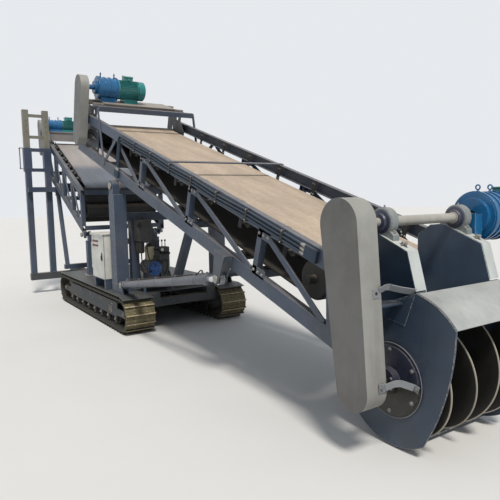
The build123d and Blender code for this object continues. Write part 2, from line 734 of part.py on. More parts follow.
shaft_y = HOUSING_Y - PLATE - RUN_GAP
right_flight = flight(-shaft_y, -FLIGHT_T - 5, 1)
left_flight = flight(shaft_y - FLIGHT_T, 5, -1)
guard_back = GUARD_Y + GUARD_T
with BuildPart(HEAD) as auger:
    shaft(AUGER_SHAFT_R, -shaft_y, shaft_y)
    shaft(STUB_R, guard_back - 55, HOUSING_Y + 75)
    add(right_flight)
    add(left_flight)
save(auger, "auger")

with BuildPart(HEAD) as jackshaft:
    with Locations((-JACK_BACK, 0, JACK_RISE)):
        shaft(JACK_R, -BEARING_Y + 45, BEARING_Y - 45)
        shaft(STUB_R, guard_back - 55, MOTOR_Y + 20)
save(jackshaft, "jackshaft")

with BuildPart(HEAD) as blocks:
    for s in (-1, 1):
        with BuildSketch(side(s * BEARING_Y, HEAD)):
            with Locations((-JACK_BACK, JACK_RISE)):
                Circle(BEARING_R)
            with BuildLine():
                Polyline((-210, 960), (-15, 880), (-15, 947), (-70, 1005), (-160, 1035), (-210, 1025), close=True)
            make_face()
            with Locations((-JACK_BACK, JACK_RISE)):
                Circle(STUB_R + 0.05, mode=Mode.SUBTRACT)
        extrude(amount=30, both=True)
        with BuildSketch(side(s * BEARING_Y, HEAD)):
            with BuildLine() as under:
                Polyline(*brow[:3])
            trace(under.line, line_width=SHEET)
            with BuildLine():
                Polyline(*brow[:3], (115, 700), (-323, 700), close=True)
            make_face()
        extrude(amount=40, both=True, mode=Mode.SUBTRACT)
save(blocks, "jackshaft_bearings")

chain_guard(
    HEAD, GUARD_Y, GUARD_T, ((-JACK_BACK, JACK_RISE, GUARD_TOP_R), (0, 0, GUARD_FOOT_R)),
    "auger_chain_guard",
    brackets=((50, 522, 80, 12, -HOUSING_Y), (-210, 235, 80, 12, -HOUSING_Y)),
    bores=((-JACK_BACK, JACK_RISE, STUB_R + RUN_GAP), (0, 0, STUB_R + RUN_GAP)),
)

with BuildPart(HEAD) as auger_drive:
    with Locations((-JACK_BACK, 0, JACK_RISE)):
        shaft(MOTOR_R - 40, MOTOR_Y, MOTOR_Y + 30)
        shaft(MOTOR_R, MOTOR_Y + 30, MOTOR_Y + 290)
        shaft(MOTOR_R - 30, MOTOR_Y + 290, MOTOR_Y + 630)
        shaft(STUB_R + RUN_GAP, MOTOR_Y - 10, MOTOR_Y + 40, mode=Mode.SUBTRACT)
        with Locations((0, HOUSING_Y + PLATE / 2, -70)):
            Box(220, PLATE, 200)
        shaft(STUB_R + RUN_GAP, HOUSING_Y - PLATE, HOUSING_Y + 2 * PLATE, mode=Mode.SUBTRACT)
        for x in (-84, 84):
            with Locations((x, (HOUSING_Y + MOTOR_Y + 5) / 2, -70)):
                Box(PLATE, MOTOR_Y + 5 - HOUSING_Y, 180)
save(auger_drive, "auger_gearmotor")

# Lift cylinders
run = Vector(LIFT_EYE_X - LIFT_BASE_X, 0, LIFT_EYE_Z - LIFT_BASE_Z)
reach = run.length
barrel_l = reach - ROD_OUT
ear_y = (LIFT_Y - 37, LIFT_Y + 37)
with BuildPart() as lift_bases:
    for s in (-1, 1):
        for y in ear_y:
            with BuildSketch(side(s * y)):
                with Locations((LIFT_BASE_X, LIFT_BASE_Z)):
                    Circle(48)
                with BuildLine():
                    Polyline(
                        (LIFT_BASE_X - 90, deck_top), (LIFT_BASE_X + 90, deck_top),
                        (LIFT_BASE_X + 48, LIFT_BASE_Z), (LIFT_BASE_X - 48, LIFT_BASE_Z), close=True,
                    )
                make_face()
            extrude(amount=6, both=True)
        with Locations((LIFT_BASE_X, 0, LIFT_BASE_Z)):
            shaft(PIN_R, s * ear_y[0], s * ear_y[1])
save(lift_bases, "lift_base_ears")

for word, s in (("left", 1), ("right", -1)):
    lift = Plane(origin=(LIFT_BASE_X, s * LIFT_Y, LIFT_BASE_Z), x_dir=run, z_dir=(0, -1, 0))
    with BuildPart() as barrel:
        with BuildSketch(lift):
            Circle(48)
            with Locations((45, 0)):
                Rectangle(90, 60)
            Circle(PIN_R + 0.05, mode=Mode.SUBTRACT)
        extrude(amount=25, both=True)
        with BuildSketch(lift):
            with BuildLine():
                Polyline(
                    (75, 0), (75, BARREL_R), (barrel_l - 60, BARREL_R), (barrel_l - 60, 56),
                    (barrel_l, 56), (barrel_l, 0), close=True,
                )
            make_face()
        revolve(axis=Axis(lift.origin, lift.x_dir))
        with BuildSketch(lift):
            with BuildLine():
                Polyline(
                    (110, 0), (110, BARREL_R - 8), (barrel_l - 60, BARREL_R - 8),
                    (barrel_l - 60, ROD_R + 0.05), (barrel_l + 1, ROD_R + 0.05), (barrel_l + 1, 0), close=True,
                )
            make_face()
        revolve(axis=Axis(lift.origin, lift.x_dir), mode=Mode.SUBTRACT)
    save(barrel, f"lift_barrel_{word}")
    with BuildPart() as rod:
        with BuildSketch(lift):
            with BuildLine():
                Polyline((barrel_l - ROD_IN, 0), (barrel_l - ROD_IN, ROD_R), (reach - 50, ROD_R), (reach - 50, 0), close=True)
            make_face()
        revolve(axis=Axis(lift.origin, lift.x_dir))
        with BuildSketch(lift):
            with Locations((reach, 0)):
                Circle(55)
            with Locations((reach, 0)):
                Circle(PIN_R + EYE_PLAY, mode=Mode.SUBTRACT)
        extrude(amount=25, both=True)
    save(rod, f"lift_rod_{word}")

# Hydraulic pack, cabinet
with BuildPart() as pack_stand:
    with Locations((-220, -330, deck_top + 105)):
        Box(210, 420, 12)
    for x in (-308, -132):
        for y in (-525, -135):
            with Locations((x, y, (deck_top * 2 + 99) / 2)):
                Box(30, 30, 99)
save(pack_stand, "pack_stand")

with BuildPart() as oil_tank:
    with Locations((-265, -475, 1290)):
        Box(230, 170, 270)
save(oil_tank, "oil_tank")

with BuildPart() as power_pack:
    with Locations((-240, -390, 800)):
        Cylinder(85, 300, rotation=(0, 90, 0))
    with Locations((-225, -390, 664)):
        Box(200, 140, 130)
    with Locations((-240, -390, 975)):
        Cylinder(62, 200)
    with Locations((-240, -215, 700)):
        Box(150, 120, 202)
    with Locations((-240, -215, 930)):
        Box(150, 140, 260)
save(power_pack, "power_pack")

CAB_X = (-1190.0, -690.0)
CAB_Y = (-850.0, -560.0)
CAB_Z = (620.0, 1230.0)
HINGE_X = CAB_X[0] - 12
HINGE_Y = CAB_Y[0] - 10
HINGE_Z = (772.5, 1077.5)
with BuildPart() as cabinet:
    with Locations(((CAB_X[0] + CAB_X[1]) / 2, (CAB_Y[0] + CAB_Y[1]) / 2, (CAB_Z[0] + CAB_Z[1]) / 2)):
        Box(CAB_X[1] - CAB_X[0], CAB_Y[1] - CAB_Y[0], CAB_Z[1] - CAB_Z[0])
        with Locations((0, -5, 0)):
            Box(
                CAB_X[1] - CAB_X[0] - 10, CAB_Y[1] - CAB_Y[0], CAB_Z[1] - CAB_Z[0] - 10, mode=Mode.SUBTRACT
            )
    for x in (CAB_X[0] + 30, CAB_X[1] - 30):
        with Locations((x, (CAB_Y[0] + CAB_Y[1]) / 2, (CAB_Z[0] + deck_top) / 2)):
            Box(50, CAB_Y[1] - CAB_Y[0], CAB_Z[0] - deck_top)
    for z in HINGE_Z:
        with Locations((HINGE_X + 3, HINGE_Y + 16, z)):
            Box(18, 28, 55)
        with Locations((HINGE_X, HINGE_Y, z)):
            Cylinder(8, 55)
            Cylinder(4.05, 60, mode=Mode.SUBTRACT)
save(cabinet, "control_cabinet")

with BuildPart() as door:
    with Locations(((CAB_X[0] + CAB_X[1]) / 2 + 3, HINGE_Y, (CAB_Z[0] + CAB_Z[1]) / 2)):
        Box(CAB_X[1] - CAB_X[0] - 6, 8, CAB_Z[1] - CAB_Z[0])
    with Locations((HINGE_X, HINGE_Y, (HINGE_Z[0] + HINGE_Z[1]) / 2)):
        Cylinder(4, HINGE_Z[1] - HINGE_Z[0] + 60)
        Cylinder(8, 240)
        with Locations((12, 0, 0)):
            Box(24, 6, 240)
save(door, "cabinet_door")

# Rear conveyor
conv_y = CONV_HALF_W - CHORD_W / 2
conv_inner = CONV_HALF_W - CHORD_W
conv_foot = CONV_LOWER_W + CONV_CHORD_H / 2
conv_head = CONV_UPPER_W - CONV_CHORD_H / 2
conv_front_x = CONV_X + CONV_AHEAD
conv_rear_x = conv_front_x - CONV_LENGTH


def conv_z(x, w):
    return frame_z(x, w, CONV_X, CONV_Z, CONV_TILT)


def conv_u(x, w):
    return CONV.to_local_coords(Vector(x, 0, conv_z(x, w))).X


post_xs = [conv_front_x - WEB_W / 2 - n * (CONV_LENGTH - WEB_W) / (CONV_POSTS - 1) for n in range(CONV_POSTS)]
conv_bar_y = CONV_HALF_W - CHORD_WALL
conv_drum_w = CONV_UPPER_W + CONV_CHORD_H / 2 - CONV_BELT_DROP - CONV_DRUM_R - BELT_T
conv_tail = conv_u(conv_front_x - CONV_TAIL_BACK, conv_drum_w)
conv_head_u = conv_u(conv_rear_x + CONV_HEAD_IN, conv_drum_w)
for word, s in (("left", 1), ("right", -1)):
    with BuildPart(CONV) as conv_frame:
        for w in (CONV_LOWER_W, CONV_UPPER_W):
            rear = conv_u(conv_rear_x, w) - CONV_CHORD_H
            front = conv_u(conv_front_x, w) + CONV_CHORD_H
            with Locations(((rear + front) / 2, s * conv_y, w)):
                Box(front - rear, CHORD_W, CONV_CHORD_H)
                with Locations((0, -s * CHORD_WALL, 0)):
                    Box(front - rear, CHORD_W, CONV_CHORD_H - 2 * CHORD_WALL, mode=Mode.SUBTRACT)
        for a, b in zip(post_xs, post_xs[1:]):
            foot = conv_u(a - WEB_W, conv_foot)
            head = conv_u(b + WEB_W, conv_head)
            bar_between((foot, conv_foot), (head, conv_head), s * conv_bar_y)
        for x in (conv_front_x, conv_rear_x):
            inward = Keep.BOTTOM if x == conv_front_x else Keep.TOP
            split(bisect_by=Plane.YZ.offset(x), keep=inward)
        for x in post_xs:
            low, high = conv_z(x, conv_foot), conv_z(x, conv_head)
            with BuildSketch(side(s * conv_y)):
                with Locations((x, (low + high) / 2)):
                    Rectangle(WEB_W, high - low + 2 * CHORD_WALL)
            extrude(amount=CHORD_W / 2, both=True)
        with Locations((0, s * (CONV_HALF_W - 62), 35)):
            Box(120, 24, 76)
        with Locations((0, s * (CONV_HALF_W - 62), 0)):
            shaft(60, -12, 12)
            shaft(PIN_R + 0.05, -20, 20, mode=Mode.SUBTRACT)
        with BuildSketch(side(s * (conv_inner - PLATE / 2), CONV)):
            with Locations((conv_tail, (conv_drum_w + CONV_UPPER_W) / 2 - BAR_W)):
                Rectangle(2 * EAR_R, CONV_UPPER_W - conv_drum_w + BAR_W)
            with Locations((conv_tail, conv_drum_w)):
                Circle(STUB_R + 0.05, mode=Mode.SUBTRACT)
        extrude(amount=PLATE / 2, both=True)
    save(conv_frame, f"discharge_side_{word}")

with BuildPart() as conv_cross:
    for x in post_xs:
        with Locations((x, 0, conv_z(x, CONV_LOWER_W))):
            Box(WEB_W, 2 * conv_inner, CROSS_TUBE)
    with Locations((post_xs[0], 0, conv_z(post_xs[0], CONV_UPPER_W))):
        Box(WEB_W, 2 * conv_inner, CROSS_TUBE)
save(conv_cross, "discharge_cross_members")

belt(CONV, conv_head_u, conv_tail, conv_drum_w, CONV_DRUM_R, CONV_BELT_HALF_W, "discharge_belt")
drums(
    CONV, (conv_head_u, conv_tail), conv_drum_w, CONV_DRUM_R, CONV_BELT_HALF_W, conv_inner, "discharge_drums"
)

stand_top = CONV_Z - 100
with BuildPart() as rear_stand:
    for s in (-1, 1):
        with Locations((CONV_X, s * REAR_STAND_Y, (deck_top + stand_top) / 2)):
            Box(TUBE, TUBE, stand_top - deck_top)
        with Locations((CONV_X, s * REAR_STAND_Y, CONV_Z - 50)):
            Box(TUBE, 40, 100)
        with Locations((CONV_X, s * REAR_STAND_Y, CONV_Z)):
            shaft(50, -20, 20)
            shaft(PIN_R, 0, s * (conv_inner + 10 - REAR_STAND_Y))
    with Locations((CONV_X, 0, stand_top - 50)):
        Box(TUBE, 2 * REAR_STAND_Y - TUBE, 90)
save(rear_stand, "rear_stand")

mast_mid_y = (MAST_Y[0] + MAST_Y[1]) / 2
with BuildPart() as mast:
    for y in MAST_Y:
        with Locations((mast_x, y, (MAST_FOOT + 120 + MAST_TOP) / 2)):
            Box(TUBE, TUBE, MAST_TOP - MAST_FOOT - 120)
            Box(TUBE - 2 * SLEEVE_WALL, TUBE - 2 * SLEEVE_WALL, MAST_TOP - MAST_FOOT, mode=Mode.SUBTRACT)
    for z in MAST_BARS:
        with Locations((mast_x, mast_mid_y, z)):
            Box(50, MAST_Y[0] - MAST_Y[1] - TUBE, 50)
save(mast, "rear_mast")

sleeve = TUBE + 2 * SLIDE_GAP
sleeve_out = sleeve + 2 * SLEEVE_WALL
carriage_mid = CARRIAGE_Z + CARRIAGE_H / 2
beam_x = mast_x + sleeve_out / 2 + CARRIAGE_BEAM_T / 2 - SLEEVE_WALL
beam_top = conv_z(beam_x + CARRIAGE_BEAM_T / 2, CONV_LOWER_W - CONV_CHORD_H / 2) - 8
with BuildPart() as carriage:
    for y in MAST_Y:
        with Locations((mast_x, y, carriage_mid)):
            Box(sleeve_out, sleeve_out, CARRIAGE_H)
        with Locations((mast_x + sleeve_out / 2, y, (beam_top - CARRIAGE_BEAM_H + CARRIAGE_Z + 80) / 2)):
            Box(SLEEVE_WALL, 80, CARRIAGE_Z + 80 - beam_top + CARRIAGE_BEAM_H)
    with Locations((beam_x, (MAST_Y[1] - 40 + CONV_HALF_W) / 2, beam_top - CARRIAGE_BEAM_H / 2)):
        Box(CARRIAGE_BEAM_T, CONV_HALF_W - MAST_Y[1] + 40, CARRIAGE_BEAM_H)
    for z in (CARRIAGE_Z + 30, CARRIAGE_Z + CARRIAGE_H - 30):
        with Locations((mast_x, mast_mid_y, z)):
            Box(60, MAST_Y[0] - MAST_Y[1], 60)
    for y in MAST_Y:
        with Locations((mast_x, y, carriage_mid)):
            Box(sleeve, sleeve, CARRIAGE_H + 2, mode=Mode.SUBTRACT)
        for z in (CARRIAGE_Z + 50, CARRIAGE_Z + CARRIAGE_H - 50):
            for dx, dy in ((1, 0), (-1, 0), (0, 1), (0, -1)):
                reach_in = (TUBE / 2 + SEAT + sleeve / 2) / 2
                with Locations((mast_x + dx * reach_in, y + dy * reach_in, z)):
                    pad = sleeve / 2 - TUBE / 2 - SEAT
                    Box(pad if dx else 60, pad if dy else 60, 80)
save(carriage, "mast_carriage")

# Props that the carriage's beam rests on, and their beam on the rear extension
prop_foot_x = mast_x + PROP_AHEAD
prop_foot_z = MAST_FOOT + 218
with BuildPart() as props:
    with Locations((prop_foot_x, 0, prop_foot_z + 40)):
        Box(TUBE, 2 * PROP_Y + TUBE, 80)
    for s in (-1, 1):
        with BuildSketch(side(s * PROP_Y)):
            with BuildLine():
                Polyline(
                    (prop_foot_x - PROP_W / 2, prop_foot_z + 80), (prop_foot_x + PROP_W / 2, prop_foot_z + 80),
                    (beam_x + PROP_W / 2, beam_top - CARRIAGE_BEAM_H - 8),
                    (beam_x - PROP_W / 2, beam_top - CARRIAGE_BEAM_H - 8), close=True,
                )
            make_face()
        extrude(amount=PROP_W / 2, both=True)
save(props, "rear_props")

conv_head_at = CONV.from_local_coords(Vector(conv_head_u, 0, conv_drum_w))
drive_at = conv_head_at + Vector(-CONV_DRIVE_BACK, 0, CONV_DRIVE_RISE)
leg_x = conv_rear_x + 150
leg_z = conv_z(leg_x, CONV_UPPER_W)
drive_foot = drive_at.Z - CONV_MOTOR_R - 30
tray_z = drive_foot - 20
with BuildPart() as conv_drive:
    with Locations((drive_at.X, 0, drive_at.Z)):
        shaft(STUB_R, -720, -640)
        shaft(CONV_MOTOR_R, -680, -420)
        shaft(CONV_MOTOR_R - 10, -420, -60)
    with Locations((drive_at.X, -380, drive_foot + 25)):
        Box(CONV_MOTOR_R * 1.6, 560, 50)
    with Locations((drive_at.X + 40, -350, tray_z + 10)):
        Box(300, 680, 20)
    with Locations((leg_x, 0, tray_z - 75)):
        Box(100, 2 * conv_inner + 60, 150)
    for s in (-1, 1):
        with Locations((leg_x, s * (conv_inner - PLATE / 2), (leg_z + tray_z - 150) / 2)):
            Box(80, PLATE, tray_z - 150 - leg_z + 40)
save(conv_drive, "discharge_gearmotor")

chain_guard(
    Plane.XZ, -830, 110,
    ((conv_head_at.X, conv_head_at.Z, CONV_GUARD_R), (drive_at.X, drive_at.Z, CONV_GUARD_R)),
    "discharge_chain_guard",
)
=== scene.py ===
import json
import math

import bmesh
import bpy
from mathutils import Matrix, Vector


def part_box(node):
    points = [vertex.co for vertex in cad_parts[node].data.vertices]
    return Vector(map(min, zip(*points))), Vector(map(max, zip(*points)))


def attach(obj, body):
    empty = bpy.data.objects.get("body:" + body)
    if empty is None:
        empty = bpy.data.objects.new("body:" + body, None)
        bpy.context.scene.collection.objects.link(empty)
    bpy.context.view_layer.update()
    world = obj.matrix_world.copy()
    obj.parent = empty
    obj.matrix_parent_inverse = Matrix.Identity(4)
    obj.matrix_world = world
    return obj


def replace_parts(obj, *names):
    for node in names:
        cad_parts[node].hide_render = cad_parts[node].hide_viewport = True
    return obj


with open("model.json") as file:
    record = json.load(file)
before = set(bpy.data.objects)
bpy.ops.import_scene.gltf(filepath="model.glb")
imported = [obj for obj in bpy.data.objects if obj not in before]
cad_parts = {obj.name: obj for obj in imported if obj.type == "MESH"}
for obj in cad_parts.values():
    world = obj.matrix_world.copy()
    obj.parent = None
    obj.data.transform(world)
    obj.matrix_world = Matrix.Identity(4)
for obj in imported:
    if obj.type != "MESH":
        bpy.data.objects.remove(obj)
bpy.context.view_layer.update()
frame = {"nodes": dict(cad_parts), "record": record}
nodes = frame["nodes"]
scene = bpy.context.scene
scene.view_settings.view_transform = "Standard"

# Slopes and places that the dressing shares with the model
BOOM_TILT = math.radians(17.7)
CONV_TILT = math.radians(25.5)
PIVOT = Vector((-0.43, 0, 1.87))
CONV_PIVOT = Vector((-2.29, 0, 1.15))


def sloping(origin, tilt):
    """Frame whose x runs ahead and down by tilt, with y to the left."""
    c, s = math.cos(tilt), math.sin(tilt)
    turn = Matrix(((c, 0, s, 0), (0, 1, 0, 0), (-s, 0, c, 0), (0, 0, 0, 1)))
    return Matrix.Translation(origin) @ turn


BOOM = sloping(PIVOT, BOOM_TILT)
CONV = sloping(CONV_PIVOT, CONV_TILT)
AUGER_AT = BOOM @ Vector((4.562, 0, -0.019))
TRACK_AT = Vector((-1.49, 0.6815, 0.235))
TRACK_HALF = 1.385  # from the middle to an end wheel's axis
TRACK_BAND = 0.207  # from an end wheel's axis to the shoes' outer faces


# Materials


class Paint:
    """Node tree of one material, built from the surface down to its detail."""

    def __init__(self, name):
        self.name = name
        self.mat = bpy.data.materials.new(name.replace(" ", "_"))
        self.mat.use_nodes = True
        self.tree = self.mat.node_tree
        self.shader = self.tree.nodes["Principled BSDF"]
        self.place = self.node("ShaderNodeTexCoord").outputs["Object"]

    def node(self, kind, sockets=None, **settings):
        """New node; sockets maps its inputs to plain values or to the outputs that feed them."""
        made = self.tree.nodes.new(kind)
        for key, value in settings.items():
            setattr(made, key, value)
        for key, value in (sockets or {}).items():
            socket = made.inputs[key]
            if isinstance(value, bpy.types.NodeSocket):
                self.tree.links.new(value, socket)
            else:
                socket.default_value = (*value, 1) if socket.type == "RGBA" else value
        return made

    def noise(self, scale, detail=5.0, stretch=None):
        place = self.place
        if stretch:
            place = self.node("ShaderNodeMapping", {"Scale": stretch, "Vector": place}).outputs[0]
        sockets = {"Scale": scale, "Detail": detail, "Roughness": 0.6, "Vector": place}
        return self.node("ShaderNodeTexNoise", sockets).outputs["Fac"]

    def wave(self, direction, scale):
        sockets = {"Scale": scale, "Vector": self.place}
        return self.node("ShaderNodeTexWave", sockets, bands_direction=direction).outputs["Fac"]

    def ramp(self, source, low, high, out_low=0.0, out_high=1.0):
        sockets = {"Value": source, "From Min": low, "From Max": high, "To Min": out_low, "To Max": out_high}
        return self.node("ShaderNodeMapRange", sockets, clamp=True).outputs[0]

    def math(self, operation, a, b):
        return self.node("ShaderNodeMath", {0: a, 1: b}, operation=operation).outputs[0]

    def times(self, a, b):
        return self.math("MULTIPLY", a, b)

    def vectors(self, operation, a, b):
        return self.node("ShaderNodeVectorMath", {0: a, 1: b}, operation=operation).outputs

    def blend(self, a, b, share):
        return self.node("ShaderNodeMix", {6: a, 7: b, 0: share}, data_type="RGBA").outputs[2]

    def surface(self, kind):
        return self.node("ShaderNodeNewGeometry").outputs[kind]

    def facing(self, axis):
        """How far the surface faces along axis, from -1 to 1; axis is 0, 1 or 2."""
        return self.node("ShaderNodeSeparateXYZ", {0: self.surface("Normal")}).outputs[axis]

    def along(self, axis):
        """Place of the surface along axis, in metres."""
        return self.node("ShaderNodeSeparateXYZ", {0: self.place}).outputs[axis]

    def over(self, tilt):
        """Height of the surface along the upward direction of a frame that slopes by tilt."""
        return self.vectors("DOT_PRODUCT", self.place, (math.sin(tilt), 0, math.cos(tilt)))["Value"]

    def softened(self, radius):
        """Outward direction with the edges rounded by radius."""
        return self.node("ShaderNodeBevel", {"Radius": radius}, samples=4).outputs[0]

    def edges(self, radius):
        """How much the surface turns within radius: 1 at a worn edge."""
        turned = self.vectors("DOT_PRODUCT", self.softened(radius), self.surface("True Normal"))
        return self.ramp(turned["Value"], 0.995, 0.86)

    def bump(self, height, distance, strength, radius):
        normal = self.softened(radius)
        sockets = {"Distance": distance, "Strength": strength, "Height": height, "Normal": normal}
        made = self.node("ShaderNodeBump", sockets)
        self.tree.links.new(made.outputs[0], self.shader.inputs["Normal"])

    def finish(self, colour, rough, metal=0.0):
        """Joins the surface up, and returns the material with its name first."""
        self.tree.links.new(colour, self.shader.inputs["Base Color"])
        self.tree.links.new(rough, self.shader.inputs["Roughness"])
        self.shader.inputs["Metallic"].default_value = metal
        return self.name, self.mat


DUST = (0.46, 0.37, 0.26)
BARE = (0.33, 0.31, 0.29)


def painted(name, colour, dust=0.5, rough=0.45, wear=0.5, worn=BARE, fields=(), tread=False):
    """Machine paint, mottled, dusty on top and worn at its edges; fields lists (other colour, its share)."""
    p = Paint(name)
    mottle = p.ramp(p.noise(3.0), 0.35, 0.62)
    base = p.blend(tuple(0.72 * c for c in colour), colour, mottle)
    shade = p.blend(tuple(0.45 * c for c in colour), tuple(0.6 * c for c in colour), mottle)
    for other, where in fields:
        share = where(p)
        base = p.blend(base, p.blend(tuple(0.8 * c for c in other), other, mottle), share)
        shade = p.blend(shade, tuple(0.6 * c for c in other), share)
    base = p.blend(base, shade, p.ramp(p.noise(9.0, stretch=(1, 1, 0.15)), 0.52, 0.8, 0.0, 0.6))
    specks = p.times(p.edges(0.006), p.ramp(p.noise(60.0), 0.42, 0.58, 0.0, wear))
    base = p.blend(base, worn, specks)
    lying = p.ramp(p.facing(2), 0.15, 0.95)
    cover = p.times(lying, p.ramp(p.noise(6.0), 0.3, 0.65, 0.45 * dust, dust))
    film = p.ramp(p.noise(1.7), 0.4, 0.75, 0.05 * dust, 0.3 * dust)
    cover = p.math("MAXIMUM", cover, film)
    base = p.blend(base, DUST, cover)
    rough_map = p.ramp(p.noise(25.0), 0.3, 0.7, rough - 0.08, rough + 0.1)
    rough_map = p.math("ADD", rough_map, p.times(cover, 0.4))
    grain = p.noise(180.0)
    if tread:
        rows = p.times(p.wave("X", 45.0), p.wave("Y", 45.0))
        grain = p.math("ADD", p.times(rows, 4.0), grain)
    p.bump(grain, 0.0008, 0.35, radius=0.003)
    return p.finish(base, rough_map)


def metal(name, colour, rough=0.35, rust=0.0):
    """Bare or plated steel, with a fine grain and rust in patches."""
    p = Paint(name)
    grain = p.noise(40.0)
    base = p.blend(tuple(0.7 * c for c in colour), colour, p.ramp(grain, 0.3, 0.7))
    if rust:
        base = p.blend(base, (0.20, 0.11, 0.06), p.ramp(p.noise(8.0), 0.5, 0.7, 0.0, rust))
    p.bump(grain, 0.0006, 0.3, radius=0.002)
    return p.finish(base, p.ramp(grain, 0.2, 0.8, rough - 0.1, rough + 0.15), metal=0.85)


def rubber(name, colour, dust=0.6, load=DUST, tilt=None, top=0.0, swept=None):
    """Rubber, dark below and at its edges, dusty on top and scuffed; swept is the dust's colour ahead."""
    p = Paint(name)
    patch = p.ramp(p.noise(2.5, stretch=(0.5, 2.0, 0.5)), 0.25, 0.7, 0.65, 1.0)
    fine = p.ramp(p.noise(22.0), 0.3, 0.7, 0.8, 1.0)
    lying = p.ramp(p.facing(2), 0.3, 0.8, 0.06, 1.0)
    if tilt:
        lying = p.times(lying, p.ramp(p.over(tilt), top - 0.004, top, 0.06, 1.0))
    cover = p.times(p.times(patch, fine), p.times(lying, dust))
    coat = p.blend(load, swept, p.ramp(p.along(0), -3.25, -3.05)) if swept else load
    base = p.blend(colour, coat, cover)
    scuff = p.ramp(p.noise(30.0, stretch=(0.06, 1, 0.06)), 0.55, 0.75, 0.0, 0.25)
    base = p.blend(base, tuple(0.5 * c for c in load), p.times(scuff, lying))
    p.bump(p.noise(120.0), 0.001, 0.4, radius=0.002)
    return p.finish(base, p.ramp(p.noise(12.0), 0.2, 0.8, 0.7, 0.95))


def track_steel(name, flats, tips, steel):
    """Track shoes with dried mud on their outer faces, paler at the lugs' tips, worn edges in pale khaki with
    a painted highlight, and near-black elsewhere: dark steel with painted shade.
    """
    p = Paint(name)
    ahead = p.math("SUBTRACT", p.along(0), TRACK_AT.x)
    above = p.math("SUBTRACT", p.along(2), TRACK_AT.z)
    past = p.math("SUBTRACT", ahead, p.math("MINIMUM", p.math("MAXIMUM", ahead, -TRACK_HALF), TRACK_HALF))
    square = p.math("ADD", p.times(past, past), p.times(above, above))
    reach = p.math("POWER", square, 0.5)
    mud = p.blend(flats, tips, p.ramp(reach, TRACK_BAND + 0.004, TRACK_BAND + 0.014))
    mud = p.blend(mud, tuple(0.5 * c for c in flats), p.ramp(p.noise(14.0), 0.42, 0.72, 0.0, 0.8))
    # Worn edges in patches, pale khaki: wear with a painted highlight on it
    worn_edge_highlight = p.times(p.edges(0.008), p.ramp(p.noise(30.0), 0.35, 0.6))
    mud = p.blend(mud, steel, worn_edge_highlight)
    # Faces that don't face out from the loop, the shoes' sides and the lugs' flanks, go near-black: the
    # chain's dark steel and painted shade
    turned = p.math("ADD", p.times(past, p.facing(0)), p.times(above, p.facing(2)))
    base = p.blend((0.030, 0.027, 0.021), mud, p.ramp(turned, 0.03, 0.12))
    p.bump(p.noise(55.0, detail=8.0), 0.004, 0.6, radius=0.004)
    return p.finish(base, p.ramp(p.noise(20.0), 0.2, 0.8, 0.65, 0.95))


def rising(axis, low, high):
    """Share of a field along axis: none at low and all at high."""
    return lambda p: p.ramp(p.along(axis), low, high)


def sides(p):
    """Mask for painted light: 1 on what faces ahead, back, up or down, 0 on what faces left or right."""
    return p.ramp(p.math("ABSOLUTE", p.facing(1), 0.0), 0.6, 0.5)


def lit_brow_faces(p):
    """The throat's flanges above its ledge, on the faces that turn up, ahead or back: painted pale as a
    painted highlight.
    """
    return p.times(sides(p), p.ramp(p.along(2), AUGER_AT.z + 0.598, AUGER_AT.z + 0.602))


def rim(p):
    """1 on the auger's outer edge, from the distance to its axis."""
    flat = p.vectors("MULTIPLY", p.place, (1, 0, 1))[0]
    apart = p.vectors("DISTANCE", flat, (AUGER_AT.x, 0, AUGER_AT.z))["Value"]
    return p.ramp(apart, 0.402, 0.404)


def canister(p):
    """1 on the power pack's upright canister."""
    return p.times(p.ramp(p.along(1), -0.326, -0.328), p.ramp(p.along(2), 0.904, 0.906))


TEAL = (0.012, 0.21, 0.205)
BLUE = (0.008, 0.13, 0.31)
# Pale copy of the guards' grey, painted on their rims as a painted highlight
HIGHLIGHT_BEIGE = (0.28, 0.28, 0.262)
PALE = (0.50, 0.53, 0.52)
SLATE = (0.040, 0.063, 0.105)
PLATFORM = (0.22, 0.205, 0.20)
NAVY = (0.022, 0.045, 0.082)


def lifted(origin, tilt, w):
    """What Paint.over gives at height w in a frame that slopes by tilt."""
    return math.cos(tilt) * origin.z + math.sin(tilt) * origin.x + w


